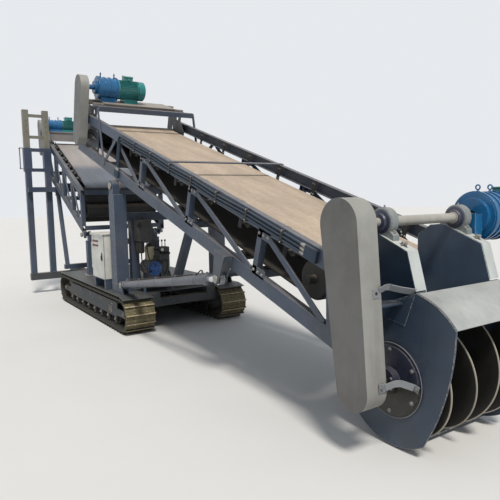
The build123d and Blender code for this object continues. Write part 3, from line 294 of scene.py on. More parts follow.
materials = dict((
    painted("structure", SLATE, dust=0.28, worn=(0.36, 0.38, 0.40)),
    track_steel("tracks", (0.14, 0.12, 0.06), (0.42, 0.33, 0.19), (0.55, 0.46, 0.31)),
    painted("wheels", (0.028, 0.027, 0.025), dust=0.3, rough=0.6),
    # Deck: its slate darkened as painted shade, with little dust
    painted("deck", (0.030, 0.042, 0.052), dust=0.12, wear=0.8, worn=(0.30, 0.30, 0.28), tread=True),
    painted("dark steel", (0.035, 0.045, 0.06), dust=0.4),
    painted("gearmotor blue", BLUE, dust=0.05, rough=0.14),
    rubber(
        "main belt", (0.018, 0.017, 0.016), dust=0.97, load=(0.53, 0.42, 0.315), tilt=BOOM_TILT,
        top=lifted(PIVOT, BOOM_TILT, 0.535),
    ),
    rubber("lagged drums", (0.02, 0.02, 0.02), dust=0.3),
    painted("hanger steel", (0.30, 0.28, 0.24), dust=0.4),
    # Guards: faces that turn ahead, back, up or down painted pale as a painted highlight; side faces keep the
    # plain grey
    painted("guards", (0.125, 0.125, 0.122), dust=0.15, wear=0.3, fields=((HIGHLIGHT_BEIGE, sides),)),
    painted("head plates", NAVY, dust=0.3, wear=1.0, worn=(0.5, 0.5, 0.48)),
    painted("lip steel", (0.37, 0.39, 0.385), dust=0.12, wear=0.6),
    metal("worn steel", (0.42, 0.40, 0.36), rust=0.4),
    painted("cylinder paint", (0.085, 0.105, 0.14), dust=0.3, rough=0.35),
    metal("rod chrome", (0.85, 0.86, 0.88), rough=0.18),
    painted("tank", (0.03, 0.035, 0.045), dust=0.4),
    painted("motor grey", (0.07, 0.085, 0.10), dust=0.35),
    painted("cabinet", (0.66, 0.66, 0.62), dust=0.2, wear=0.2, fields=((SLATE, rising(2, 0.632, 0.628)),)),
    rubber(
        "rear belt", (0.014, 0.015, 0.018), dust=0.92, load=(0.40, 0.365, 0.345), tilt=CONV_TILT,
        top=lifted(CONV_PIVOT, CONV_TILT, 0.652), swept=(0.17, 0.19, 0.225),
    ),
    painted("carriage blue", (0.03, 0.05, 0.095), dust=0.3),
    rubber("hose rubber", (0.020, 0.038, 0.062), dust=0.12),
))
drive_low, drive_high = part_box("discharge_gearmotor")
drive_x, drive_z = drive_low.x + 0.11, drive_high.z - 0.1
discharge_foot = drive_z - 0.13
platform_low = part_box("drive_platform")[1].z - 0.19
looks = dict((
    painted("motor teal", TEAL, dust=0.05, rough=0.14),
    painted("gearbox blue", (0.010, 0.09, 0.32), dust=0.2, rough=0.3),
    painted("pale grey", (0.22, 0.24, 0.24), dust=0.3, wear=0.6),
    painted("navy", (0.02, 0.03, 0.07), dust=0.25, rough=0.35),
    painted("olive", (0.17, 0.16, 0.115), dust=0.35),
    painted("black", (0.012, 0.012, 0.013), dust=0.15, rough=0.6, wear=0.1),
    painted("indicator", (0.10, 0.02, 0.02), dust=0.1, rough=0.25, wear=0.1),
    metal("zinc", (0.42, 0.41, 0.38), rough=0.42, rust=0.25),
    painted("track hub", (0.12, 0.11, 0.09), dust=0.6, rough=0.6),
    painted("boom drive", BLUE, dust=0.05, rough=0.14, fields=((TEAL, rising(1, -0.302, -0.298)),)),
    painted(
        "discharge drive", BLUE, dust=0.05, rough=0.14,
        fields=(
            (TEAL, rising(1, -0.422, -0.418)),
            (PLATFORM, rising(2, discharge_foot + 0.001, discharge_foot - 0.001)),
        ),
    ),
    # Throat: navy lighter than the head plates' as painted light against the guard's shadow; pale brow faces
    # as a painted highlight; worn edges pale
    painted("throat", (0.034, 0.066, 0.115), dust=0.2, wear=0.6, worn=PALE, fields=((PALE, lit_brow_faces),)),
    painted(
        "auger", (0.007, 0.007, 0.006), dust=0.06, rough=0.5, wear=0.0, fields=(((0.42, 0.38, 0.31), rim),),
    ),
    painted(
        "covers", (0.016, 0.022, 0.050), dust=0.1, rough=0.4,
        fields=(((0.016, 0.017, 0.015), rising(2, AUGER_AT.z + 0.01, AUGER_AT.z - 0.01)),),
    ),
    painted("hangers", (0.06, 0.075, 0.10), dust=0.12),
    painted(
        "platform", SLATE, dust=0.3, fields=((PLATFORM, rising(2, platform_low, platform_low + 0.002)),),
    ),
    # Auger guard: the same painted highlight on the faces that turn ahead, back, up or down
    painted(
        "auger guard", (0.125, 0.125, 0.122), dust=0.15, wear=0.3,
        fields=((HIGHLIGHT_BEIGE, sides), (NAVY, rising(1, -0.643, -0.641))),
    ),
    painted("pack", (0.05, 0.06, 0.07), dust=0.3, fields=(((0.42, 0.37, 0.25), canister),)),
    painted("shaft", (0.38, 0.37, 0.33), dust=0.15, rough=0.35),
    painted("housings", (0.20, 0.23, 0.235), dust=0.2, rough=0.4),
    painted("strap", (0.24, 0.26, 0.28), dust=0.2),
    painted("screws", (0.16, 0.17, 0.19), dust=0.15, rough=0.35),
    # Chassis and track frames: near-black as painted shade
    painted("shaded under frame", (0.03, 0.04, 0.05), dust=0.35, rough=0.6),
    painted("mast", SLATE, dust=0.28, fields=(((0.165, 0.16, 0.13), rising(2, 2.62, 2.68)),)),
))
dressed = {
    "auger_end_covers": "covers", "auger_chain_guard": "auger guard", "jackshaft_bearings": "housings",
    "throat": "throat", "lift_hangers": "hangers", "drive_platform": "platform", "rear_mast": "mast",
    "boom_gearmotor": "boom drive", "discharge_gearmotor": "discharge drive", "power_pack": "pack",
    "chassis_frame": "shaded under frame", "track_frame_left": "shaded under frame", "track_frame_right": "shaded under frame",
}
slots = {part["node"]: part["material_slot"] for part in frame["record"]["subparts"]}
for name, obj in nodes.items():
    obj.data.materials.clear()
    obj.data.materials.append(looks[dressed[name]] if name in dressed else materials[slots[name]])


# Dressing pieces


class Shape:
    """One dressing piece, gathered from small solids in a frame of its own, in metres."""

    def __init__(self, base=Matrix()):
        self.base = base
        self.points = []
        self.faces = []

    def rings(self, rings, turn=Matrix(), hoop=False):
        """Skin over rings of equally many points, closed at both ends or, as a hoop, round on itself."""
        n, start = len(rings[0]), len(self.points)
        self.points += [self.base @ (turn @ Vector(p)) for ring in rings for p in ring]
        count = len(rings)
        for k in range(count if hoop else count - 1):
            for i in range(n):
                j, m = (i + 1) % n, (k + 1) % count
                self.faces.append([start + c for c in (k * n + i, k * n + j, m * n + j, m * n + i)])
        if not hoop:
            self.faces.append([start + i for i in range(n)])
            self.faces.append([start + (count - 1) * n + i for i in range(n)])

    def lathe(self, at, axis, profile, sides=32, hoop=False):
        """Turned solid; profile lists (place along the axis, radius), and as a hoop closes on itself."""
        angles = [2 * math.pi * (i + 0.5) / sides for i in range(sides)]
        rings = [[(r * math.cos(a), r * math.sin(a), t) for a in angles] for t, r in profile]
        self.rings(rings, aim(at, axis), hoop)

    def hoop(self, at, axis, radius, r, sides=20):
        """Ring of round bar."""
        section = [(r * math.cos(a), radius + r * math.sin(a)) for a in [math.pi * k / 4 for k in range(8)]]
        self.lathe(at, axis, section, sides, hoop=True)

    def bar(self, points, width, thickness, wide):
        """Flat bar bent through points, with its width as near to the direction wide as it can be."""
        for a, b in zip(points, points[1:]):
            a, b = Vector(a), Vector(b)
            run = (b - a).normalized()
            flat = run.cross(Vector(wide)).normalized()
            turn = Matrix((flat.cross(run), run, flat)).transposed().to_4x4()
            self.block((a + b) / 2, (width, (b - a).length + 0.5 * thickness, thickness), turn, 0.0008)

    def sheet(self, outline, y0, y1):
        """Plate between y0 and y1 with an outline of (x, z) points."""
        self.rings([[(x, y, z) for x, z in outline] for y in (y0, y1)])

    def block(self, at, size, turn=Matrix(), soft=0.002):
        """Box with broken edges."""
        x, y, z = (d / 2 for d in size)

        def ring(level, cut):
            a, b = x - cut, y - cut
            c = soft * 0.6
            return [
                (a, b - c, level), (a - c, b, level), (c - a, b, level), (-a, b - c, level),
                (-a, c - b, level), (c - a, -b, level), (a - c, -b, level), (a, c - b, level),
            ]

        levels = ((-z, soft), (soft - z, 0), (z - soft, 0), (z, soft))
        self.rings([ring(level, cut) for level, cut in levels], Matrix.Translation(at) @ turn)

    def bolt(self, at, axis, r=0.011):
        """Hexagon head on its washer."""
        self.lathe(at, axis, ((0, 1.5 * r), (0.3 * r, 1.5 * r)), 12)
        self.lathe(at, axis, ((0.3 * r, r), (1.0 * r, r), (1.15 * r, 0.84 * r)), 6)

    def bolt_ring(self, at, axis, radius, count, r=0.011):
        frame_at = aim(at, axis)
        for i in range(count):
            a = 2 * math.pi * (i + 0.5) / count
            self.bolt(frame_at @ Vector((radius * math.cos(a), radius * math.sin(a), 0)), axis, r)

    def done(self, name, slot, body, look=None):
        mesh = bpy.data.meshes.new(name)
        mesh.from_pydata(self.points, [], self.faces)
        work = bmesh.new()
        work.from_mesh(mesh)
        bmesh.ops.recalc_face_normals(work, faces=work.faces)
        work.to_mesh(mesh)
        work.free()
        for face in mesh.polygons:
            face.use_smooth = True
        mesh.set_sharp_from_angle(angle=math.radians(32))
        return place(bpy.data.objects.new(name, mesh), slot, body, look)


def aim(at, axis):
    """Frame at a point whose z looks along axis."""
    return Matrix.Translation(at) @ Vector(axis).to_track_quat("Z", "Y").to_matrix().to_4x4()


def place(piece, slot, body, look=None):
    piece.data.materials.append(look or materials[slot])
    scene.collection.objects.link(piece)
    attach(piece, body)
    return piece


def pipes(name, base, routes, r, slot, body, look):
    """Bent steel pipes of radius r along smooth routes in the frame base."""
    curve = bpy.data.curves.new(name, "CURVE")
    curve.dimensions = "3D"
    curve.bevel_depth = r
    curve.bevel_resolution = 3
    curve.use_fill_caps = True
    for route in routes:
        line = curve.splines.new("NURBS")
        line.points.add(len(route) - 1)
        for point, target in zip(line.points, route):
            point.co = (*(base @ Vector(target)), 1)
        line.order_u = 3
        line.use_endpoint_u = True
    return place(bpy.data.objects.new(name, curve), slot, body, look)


def tilt_y(degrees):
    return Matrix.Rotation(math.radians(degrees), 4, "Y")


BOTH = (-1, 1)
NAMED_SIDES = ((1, "left"), (-1, "right"))
ACROSS = Vector((0, 1, 0))
UP = Vector((0, 0, 1))
AHEAD = Vector((1, 0, 0))
HEAD = Matrix.Translation(AUGER_AT)
JACK_X, JACK_Z = -0.115, 1.035  # the jackshaft's axis from the auger's
LIFT_X, LIFT_Z = -0.24, 0.60  # the lift barrels' pins


# Gearmotors: flanges, bands, cooling fins, fan cowl, terminal box and lifting eyes


def gearmotor(name, base, x, z, gear, motor, body):
    """Fittings round gear and motor, each (y at the output side, y at the far side, radius)."""
    g0, g1, gr = gear
    m0, m1, mr = motor
    blue, teal = Shape(base), Shape(base)
    span = g1 - g0
    for part, grow in ((0.02, 0.014), (0.32, 0.008), (0.58, 0.010), (0.91, 0.014)):
        ring = ((0, gr - 0.01), (0.001, gr + grow), (0.019, gr + grow), (0.02, gr - 0.01))
        blue.lathe((x, g0 + part * span, z), ACROSS, ring, 40, hoop=True)
    blue.bolt_ring((x, g0 + 0.02 * span + 0.02, z), ACROSS, gr + 0.003, 12, 0.008)
    blue.bolt_ring((x, g0 + 0.91 * span, z), -ACROSS, gr + 0.003, 12, 0.008)
    for y in (g0 + 0.05, g1 - 0.05):
        blue.lathe((x, y, z + gr - 0.004), UP, ((0, 0.012), (0.02, 0.012), (0.022, 0.006), (0.03, 0.006)), 12)
        blue.hoop((x, y, z + gr + 0.042), ACROSS, 0.018, 0.006)
    length = m1 - m0
    cowl = 0.25 * length
    fin_mid = (m0 + m1 - cowl) / 2
    for i in range(36):
        a = 2 * math.pi * i / 36
        spot = (x + (mr + 0.004) * math.sin(a), fin_mid, z + (mr + 0.004) * math.cos(a))
        teal.block(spot, (0.004, length - cowl - 0.03, 0.022), tilt_y(math.degrees(a)), 0.0008)
    flange = ((0, mr - 0.01), (0.001, mr + 0.018), (0.014, mr + 0.018), (0.015, mr - 0.01))
    teal.lathe((x, m0 + 0.002, z), ACROSS, flange, 36, hoop=True)
    skin = ((0, mr + 0.006), (0.001, mr + 0.016), (cowl - 0.012, mr + 0.014), (cowl, mr))
    teal.lathe((x, m1 - cowl, z), ACROSS, skin, 36)
    for k in range(5):
        r = mr * (0.22 + 0.16 * k)
        teal.hoop((x, m1 + 0.002, z), ACROSS, r, 0.0035, 28)
    for a in range(0, 360, 45):
        teal.block((x, m1 + 0.004, z), (0.008, 0.005, 1.7 * mr), tilt_y(a), 0.001)
    box_y = m0 + 0.38 * length
    box_z = z + mr + 0.035
    teal.block((x, box_y, box_z), (0.11, 0.13, 0.06), soft=0.006)
    teal.block((x, box_y, box_z + 0.034), (0.12, 0.14, 0.014), soft=0.004)
    for dx in BOTH:
        for dy in BOTH:
            teal.bolt((x + dx * 0.049, box_y + dy * 0.059, box_z + 0.041), UP, 0.004)
    gland = ((0, 0.014), (0.02, 0.014), (0.021, 0.010), (0.035, 0.009))
    teal.lathe((x + 0.055, box_y, box_z), AHEAD, gland, 14)
    blue.done(f"{name}_gearbox_fittings", "gearmotor blue", body)
    teal.done(f"{name}_motor_fittings", "gearmotor blue", body, looks["motor teal"])


gearmotor("boom_drive", BOOM, -1.44, 1.06, (-0.60, -0.30, 0.15), (-0.30, 0.11, 0.125), "boom")
gearmotor(
    "discharge_drive", Matrix(), drive_x, drive_z, (-0.68, -0.42, 0.10), (-0.42, -0.06, 0.09),
    "discharge_conveyor",
)
gearmotor("auger_drive", HEAD, JACK_X, JACK_Z, (0.59, 0.85, 0.18), (0.85, 1.19, 0.15), "boom")

# Bearings on the jackshaft, with their jacking screws, and black slots along the brow as painted shade
housings, caps, brow_slot_shade, screws = Shape(HEAD), Shape(HEAD), Shape(HEAD), Shape(HEAD)
brow_slope = math.degrees(math.atan2(0.132, 0.315))
brow_normal = Vector((0.387, 0, 0.922))
cap = ((0, 0.082), (0.010, 0.080), (0.016, 0.066), (0.018, 0.058), (0.030, 0.052), (0.034, 0.030))
nipple = ((-0.004, 0.010), (0.006, 0.010), (0.008, 0.005), (0.018, 0.006))
for s in BOTH:
    for out in BOTH:
        face = (JACK_X, s * 0.395 + out * 0.03, JACK_Z)
        housings.lathe(face, out * ACROSS, ((0, 0.093), (0.004, 0.088), (0.006, 0.088)), 40)
        caps.lathe(face, out * ACROSS, cap, 40)
        caps.bolt((JACK_X, face[1] + out * 0.024, JACK_Z + 0.056), UP, 0.005)
    housings.lathe((JACK_X, s * 0.395, JACK_Z + 0.093), UP, nipple, 10)
    for x, z in ((-0.188, 1.032), (-0.042, 0.967)):
        screws.bolt((x, s * 0.395, z), brow_normal, 0.014)
    for x in (-0.255, 0.045):
        z = 0.985 - max(0.0, (x + 0.2)) * 0.419 + min(0.0, x + 0.2) * 0.098
        lift = Vector((x, s * 0.395, z)) + 0.0052 * brow_normal
        slope = tilt_y(brow_slope if x > -0.2 else -5.6)
        # Black slot under each screw: painted shade in the slot
        brow_slot_shade.block(lift, (0.062, 0.016, 0.002), slope, 0.0005)
        screws.block(lift + 0.014 * brow_normal, (0.016, 0.05, 0.028), slope, 0.002)
        way = math.copysign(1, x) * AHEAD
        screws.bolt(lift + 0.016 * brow_normal + 0.009 * way, way, 0.009)
housings.done("bearing_housings", "dark steel", "boom", looks["housings"])
caps.done("bearing_caps", "dark steel", "boom", looks["navy"])
brow_slot_shade.done("brow_slots_shade", "head plates", "boom", looks["black"])
screws.done("bearing_screws", "dark steel", "boom", looks["zinc"])

# Auger chain guard: straps from its rims to the head's side, and the screws in them
straps, strap_screws, strap_slot_shade = Shape(HEAD), Shape(HEAD), Shape(HEAD)
straps.block((0.086, -0.690, 0.612), (0.007, 0.056, 0.060), tilt_y(-4.7), 0.001)
straps.bar(((0.090, -0.668, 0.628), (0.094, -0.61, 0.645), (0.098, -0.575, 0.642)), 0.042, 0.005, (0.3, 0, 1))
slotted = (0.75, 0, 0.65)
straps.bar(((0.100, -0.585, 0.642), (0.120, -0.515, 0.622), (0.168, -0.430, 0.604)), 0.056, 0.006, slotted)
strap_screws.bolt((0.111, -0.540, 0.636), (-0.6, -0.3, 0.75), 0.012)
# Black disc and bar: painted shade in the tab's hole and in the strap's slot
strap_slot_shade.lathe((0.0895, -0.690, 0.612), AHEAD, ((0, 0.011), (0.001, 0.011)), 16)
strap_slot_shade.bar(((0.134, -0.4895, 0.6200), (0.156, -0.4505, 0.6120)), 0.016, 0.002, slotted)
straps.block((0.140, -0.690, 0.032), (0.007, 0.056, 0.056), soft=0.001)
lower = ((0.146, -0.668, 0.034), (0.158, -0.60, 0.046), (0.172, -0.56, 0.044), (0.205, -0.478, 0.008))
straps.bar(lower, 0.044, 0.006, UP)
straps.bar(((0.203, -0.473, 0.008), (0.236, -0.471, -0.004)), 0.044, 0.006, UP)
strap_screws.bolt((0.143, -0.700, 0.032), AHEAD, 0.009)
strap_screws.bolt((0.222, -0.475, 0.001), -ACROSS, 0.011)
straps.done("auger_guard_straps", "guards", "boom", looks["strap"])
strap_slot_shade.done("strap_slots_shade", "guards", "boom", looks["black"])

# End covers: bolts at the rim and the hub, and a thin pale hoop on the rim as a painted highlight; head
# sides: a doubler under each ledge
doubler = Shape(HEAD)
under_ledge = (
    (0.180, 0.583), (0.104, 0.378), (0.031, 0.390), (-0.075, 0.408), (-0.30, 0.432), (-0.30, 0.444),
    (-0.012, 0.513),
)
for s in BOTH:
    strap_screws.bolt_ring((0, s * 0.467, 0), s * ACROSS, 0.208, 6, 0.010)
    strap_screws.bolt_ring((0, s * 0.520, 0), s * ACROSS, 0.068, 6, 0.008)
    doubler.sheet(under_ledge, s * 0.4445, s * 0.449)
strap_screws.done("auger_head_screws", "dark steel", "boom", looks["screws"])
doubler.done("head_side_doublers", "head plates", "boom")
# Pale hoop of round bar on each cover's rim: painted highlight
rims = Shape(HEAD)
for s in BOTH:
    rims.hoop((0, s * 0.457, 0), ACROSS, 0.250, 0.0022, 72)
rims.done("end_cover_rim_highlights", "dark steel", "boom", looks["strap"])

# Auger: smooth flights of opposite hands on one shaft, in place of the faceted ones
auger = Shape(HEAD)
TURN_STEPS = 96
TURNS = 1.59
START = math.radians(53.6)
REACH = (0.066, 0.085, 0.11, 0.145, 0.19, 0.25, 0.32, 0.400)
section = [(r, 0.012) for r in REACH] + [(0.410, 0.009), (0.410, 0.003)] + [(r, 0) for r in REACH[::-1]]
steps = round(TURNS * TURN_STEPS)
for y0, y1 in ((-0.423, -0.017), (0.411, 0.005)):
    rings = []
    for k in range(steps + 1):
        a = START - 2 * math.pi * k / TURN_STEPS
        y = y0 + (y1 - y0) * k / steps
        rings.append([(r * math.cos(a), y + t, r * math.sin(a)) for r, t in section])
    auger.rings(rings)
auger.lathe((0, -0.423, 0), ACROSS, ((0, 0.066), (0.002, 0.070), (0.844, 0.070), (0.846, 0.066)), 48)
auger.lathe((0, -0.700, 0), ACROSS, ((0, 0.032), (0.003, 0.035), (1.217, 0.035), (1.22, 0.032)), 32)
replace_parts(auger.done("auger_flights", "worn steel", "auger", looks["auger"]), "auger")

# Jackshaft: slimmer than its solid between the bearings, with collars beside them
shaft = Shape(HEAD)
collar = ((0.350, 0.028), (0.351, 0.044), (0.372, 0.044), (0.373, 0.034))
far_collar = [(1.4 - d, r) for d, r in collar[::-1]]
turned = [(0, 0.025), (0.003, 0.028), *collar, *far_collar, (1.277, 0.028), (1.28, 0.025)]
shaft.lathe((JACK_X, -0.700, JACK_Z), ACROSS, turned, 40)
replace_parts(shaft.done("jackshaft_turned", "worn steel", "jackshaft", looks["shaft"]), "jackshaft")

# Head plates at the top of the boom: flange bearings, take-up screws and plate bolts
plate_bits, plate_bolts = Shape(BOOM), Shape(BOOM)
flange_bearing = ((0, 0.088), (0.012, 0.086), (0.016, 0.062), (0.042, 0.056), (0.044, 0.040))
for s in BOTH:
    face = s * 0.664
    plate_bits.lathe((-1.44, face, 0.38), s * ACROSS, flange_bearing)
    plate_bolts.bolt_ring((-1.44, face + s * 0.012, 0.38), s * ACROSS, 0.073, 4, 0.009)
    for u, w in ((-1.58, 0.72), (-1.58, 0.30), (-1.22, 0.72), (-1.08, 0.50), (-1.08, 0.24), (-1.32, 0.20)):
        plate_bolts.bolt((u, face, w), s * ACROSS, 0.011)
    plate_bits.block((-1.30, face + s * 0.012, 0.38), (0.12, 0.022, 0.03), soft=0.002)
    plate_bolts.lathe((-1.24, face + s * 0.012, 0.38), AHEAD, ((0, 0.008), (0.16, 0.008), (0.161, 0.006)), 10)
    plate_bolts.bolt((-1.21, face + s * 0.012, 0.38), AHEAD, 0.013)
plate_bits.done("head_flange_bearings", "dark steel", "boom")
plate_bolts.done("head_plate_bolts", "dark steel", "boom", looks["zinc"])

# Boom truss: splice plates at the uprights, idler bracket bolts, hose clips and hose ferrules
gussets, truss_bolts, clips = Shape(BOOM), Shape(BOOM), Shape(BOOM)
for s in BOTH:
    for u in (0.73, 1.98, 3.23):
        for w, dw in ((0.557, -0.02), (0.203, 0.02)):
            gussets.block((u + 0.06, s * 0.7215, w + dw), (0.17, 0.005, 0.075), soft=0.001)
            for du in (-0.005, 0.055, 0.115):
                truss_bolts.bolt((u + du, s * 0.724, w + dw), s * ACROSS, 0.009)
    for n in range(7):
        u = -0.435 + n * 0.655
        for du in BOTH:
            truss_bolts.bolt((u + du * 0.016, s * 0.664, 0.64), -s * ACROSS, 0.008)
            truss_bolts.bolt((u + du * 0.016, s * 0.656, 0.53), -s * ACROSS, 0.008)
for k in range(1, 8):
    u = 0.02 + 0.5 * k
    clips.block((u, -0.7465, 0.618), (0.028, 0.004, 0.104), soft=0.001)
    for w in (0.568, 0.668):
        clips.block((u, -0.735, w), (0.028, 0.022, 0.004), soft=0.001)
        truss_bolts.bolt((u, -0.748, w - math.copysign(0.006, w - 0.618)), -ACROSS, 0.005)
crimp = ((0, 0.015), (0.03, 0.015), (0.032, 0.012), (0.05, 0.012))
for w in (0.588, 0.618, 0.648):
    truss_bolts.lathe((3.80, -0.7343, w), -AHEAD, crimp, 6)
crimp = ((0, 0.014), (0.02, 0.014), (0.022, 0.0115), (0.04, 0.0115))
for u in (-0.04, -0.01, 0.02):
    truss_bolts.lathe((u, -0.7343, 0.207), UP, crimp, 6)
gussets.done("boom_gussets", "structure", "boom")
truss_bolts.done("boom_bolts", "structure", "boom", looks["zinc"])
clips.done("hose_clips", "structure", "boom", looks["black"])

# Caps and bolts on the boom's pivots and on the lift cylinders' pins
pins = Shape()
for s in BOTH:
    pins.lathe((PIVOT.x, s * 0.820, PIVOT.z), s * ACROSS, ((0, 0.046), (0.010, 0.046), (0.012, 0.043)))
    pins.bolt_ring((PIVOT.x, s * 0.831, PIVOT.z), s * ACROSS, 0.028, 3, 0.007)
pins.done("boom_pivot_caps", "hanger steel", "boom", looks["zinc"])


def pin_caps(name, x, z, faces, slot, body):
    """Bolted caps of the lift pins on both sides; faces lists (y, way out)."""
    made = Shape()
    for s in BOTH:
        for y, out in faces:
            axis = s * out * ACROSS
            made.lathe((x, s * (y - 0.001), z), axis, ((0, 0.036), (0.008, 0.036), (0.010, 0.033)), 24)
            made.bolt((x, s * (y + out * 0.008), z), axis, 0.009)
    made.done(name, slot, body, looks["zinc"])


pin_caps("lift_pin_caps", 2.24, 0.975, ((0.816, 1), (0.724, -1)), "hanger steel", "boom")
pin_caps("lift_base_pin_caps", LIFT_X, LIFT_Z, ((0.807, 1),), "structure", "chassis")

# Lift cylinders: glands, end caps, ports and the steel line along each barrel
lift_turn = Matrix.Rotation(-math.atan2(0.375, 2.48), 4, "Y")
gland = ((0, 0.044), (0.002, 0.053), (0.052, 0.053), (0.056, 0.048), (0.058, 0.0345))
clamp = ((0, 0.0455), (0, 0.0475), (0.018, 0.0475), (0.018, 0.0455))
line = (
    (2.19, 0, 0.084), (2.16, 0, 0.092), (2.12, 0, 0.070), (2.05, 0, 0.056), (1.5, 0, 0.056), (0.36, 0, 0.056),
    (0.24, 0, 0.072),
)
for s, word in NAMED_SIDES:
    lift = Matrix.Translation((LIFT_X, s * 0.77, LIFT_Z)) @ lift_turn
    barrel = Shape(lift)
    barrel.lathe((2.245, 0, 0), AHEAD, gland, 40)
    barrel.lathe((0.115, 0, 0), AHEAD, ((0, 0.046), (0.002, 0.052), (0.026, 0.052), (0.028, 0.046)), 40)
    barrel.bolt_ring((2.300, 0, 0), AHEAD, 0.042, 8, 0.005)
    for u in (0.17, 2.19):
        barrel.block((u, 0, 0.050), (0.036, 0.034, 0.026), soft=0.003)
        barrel.lathe((u, 0, 0.060), UP, ((0, 0.011), (0.016, 0.011), (0.018, 0.008), (0.024, 0.008)), 6)
    for u in (0.6, 1.1, 1.6, 2.05):
        barrel.lathe((u - 0.009, 0, 0), AHEAD, clamp, 36)
        barrel.block((u, 0, 0.054), (0.022, 0.030, 0.018), soft=0.002)
        barrel.bolt((u, -0.010, 0.062), UP, 0.004)
    barrel.done(f"lift_barrel_fittings_{word}", "cylinder paint", f"lift_barrel_{word}")
    pipes(f"lift_line_{word}", lift, (line,), 0.006, "cylinder paint", f"lift_barrel_{word}", looks["black"])

# Track shoes: the joints between them and four bolts on each
SHOES = 68
pitch = (4 * TRACK_HALF + 2 * math.pi * TRACK_BAND) / SHOES


def on_loop(s):
    """Place and outward turn, in degrees from ahead, of the point s along a track's outer face."""
    arc, run = math.pi * TRACK_BAND, 2 * TRACK_HALF
    back = s >= run + arc
    if back:
        s -= run + arc
    a = 90.0 - 180.0 * max(0.0, s - run) / arc - 180.0 * back
    way = -1 if back else 1
    x = way * (min(s, run) - TRACK_HALF) + TRACK_BAND * math.cos(math.radians(a))
    return x, TRACK_BAND * math.sin(math.radians(a)), a


for s, word in NAMED_SIDES:
    loop = Matrix.Translation((TRACK_AT.x, s * TRACK_AT.y, TRACK_AT.z))
    joints, shoe_bolts = Shape(loop), Shape(loop)
    for n in range(SHOES):
        x, z, a = on_loop(n * pitch)
        turn = tilt_y(90 - a)
        spot = Vector((x, 0, z)) + turn @ Vector((0, 0, -0.0145))
        joints.block(spot, (0.005, 0.3875, 0.0305), turn, 0.0008)
        x, z, a = on_loop((n + 0.5) * pitch)
        turn = tilt_y(90 - a)
        out = turn @ UP
        for dx in (-0.026, 0.026):
            for y in (-0.075, 0.075):
                spot = Vector((x, y, z)) + turn @ Vector((dx, 0, -0.001))
                shoe_bolts.lathe(spot, out, ((0, 0.009), (0.008, 0.009), (0.010, 0.007)), 6)
    joints.done(f"shoe_joints_{word}", "tracks", "chassis", looks["black"])
    shoe_bolts.done(f"shoe_bolts_{word}", "tracks", "chassis")

# Track frames: hub covers, roller caps, side plate bolts and the grease valve for the tension
hub = ((0, 0.044), (0.006, 0.044), (0.010, 0.034), (0.022, 0.030), (0.026, 0.018))
wheel_disc = ((0, 0.150), (0.004, 0.150), (0.010, 0.140), (0.012, 0.08), (0.02, 0.07))
for s, word in NAMED_SIDES:
    hubs, hub_bolts = Shape(), Shape()
    face = s * (TRACK_AT.y + 0.140)
    for x in (TRACK_AT.x - TRACK_HALF, TRACK_AT.x + TRACK_HALF):
        hubs.lathe((x, face, TRACK_AT.z), s * ACROSS, hub, 32)
        hub_bolts.bolt_ring((x, face + s * 0.006, TRACK_AT.z), s * ACROSS, 0.037, 6, 0.0045)
        hubs.lathe((x, s * (TRACK_AT.y + 0.060), TRACK_AT.z), s * ACROSS, wheel_disc, 48)
        hub_bolts.bolt_ring((x, s * (TRACK_AT.y + 0.066), TRACK_AT.z), s * ACROSS, 0.125, 10, 0.009)
    for n in range(8):
        x = TRACK_AT.x - 1.043 + n * 2.086 / 7
        hubs.lathe((x, face, 0.1303), s * ACROSS, ((0, 0.024), (0.008, 0.024), (0.012, 0.018)), 20)
        hub_bolts.bolt((x, face + s * 0.011, 0.1303), s * ACROSS, 0.007)
    for n in range(5):
        hub_bolts.bolt((TRACK_AT.x + 0.475 * (n - 2), face, 0.325), s * ACROSS, 0.010)
    hubs.block((-0.62, face, 0.245), (0.13, 0.008, 0.09), soft=0.002)
    for dx in BOTH:
        for dz in BOTH:
            hub_bolts.bolt((-0.62 + dx * 0.052, face + s * 0.003, 0.245 + dz * 0.032), s * ACROSS, 0.006)
    hubs.done(f"track_hubs_{word}", "wheels", "chassis", looks["track hub"])
    hub_bolts.done(f"track_hub_bolts_{word}", "wheels", "chassis", looks["zinc"])

# Cabinet: rain hood, feet bolts, cable glands, door panel, two rows of plain indicators and lock
hood, lamps, trim = Shape(), Shape(), Shape()
hood.block((-0.94, -0.712, 1.237), (0.54, 0.34, 0.014), soft=0.004)
hood.block((-0.94, -0.878, 1.226), (0.54, 0.006, 0.024), soft=0.002)
for x in (-1.163, -0.717):
    hood.bolt((x, -0.79, 0.528), UP, 0.009)
    hood.bolt((x, -0.62, 0.528), UP, 0.009)
hood.done("cabinet_hood", "cabinet", "chassis")
gland = ((0, 0.016), (0.012, 0.016), (0.014, 0.012), (0.03, 0.011))
for k in range(4):
    trim.lathe((-1.10 + 0.1 * k, -0.70, 0.622), -UP, gland, 6)
trim.done("cabinet_glands", "cabinet", "chassis", looks["black"])
door, lock = Shape(), Shape()
door.block((-0.937, -0.8655, 0.925), (0.46, 0.003, 0.575), soft=0.001)
door.done("cabinet_door_panel", "cabinet", "cabinet_door")
lamp = ((0, 0.016), (0.004, 0.016), (0.005, 0.012), (0.014, 0.012), (0.016, 0.009))
for z in (1.135, 1.075):
    for k in range(4):
        lamps.lathe((-1.09 + 0.062 * k, -0.867, z), -ACROSS, lamp, 20)
lock.block((-0.745, -0.870, 0.93), (0.032, 0.008, 0.11), soft=0.003)
lock.lathe((-0.745, -0.873, 0.955), -ACROSS, ((0, 0.009), (0.006, 0.009), (0.007, 0.006)), 16)
lock.block((-0.745, -0.880, 0.915), (0.016, 0.012, 0.06), soft=0.003)
lamps.done("cabinet_indicators", "cabinet", "cabinet_door", looks["indicator"])
lock.done("cabinet_lock", "cabinet", "cabinet_door", looks["black"])

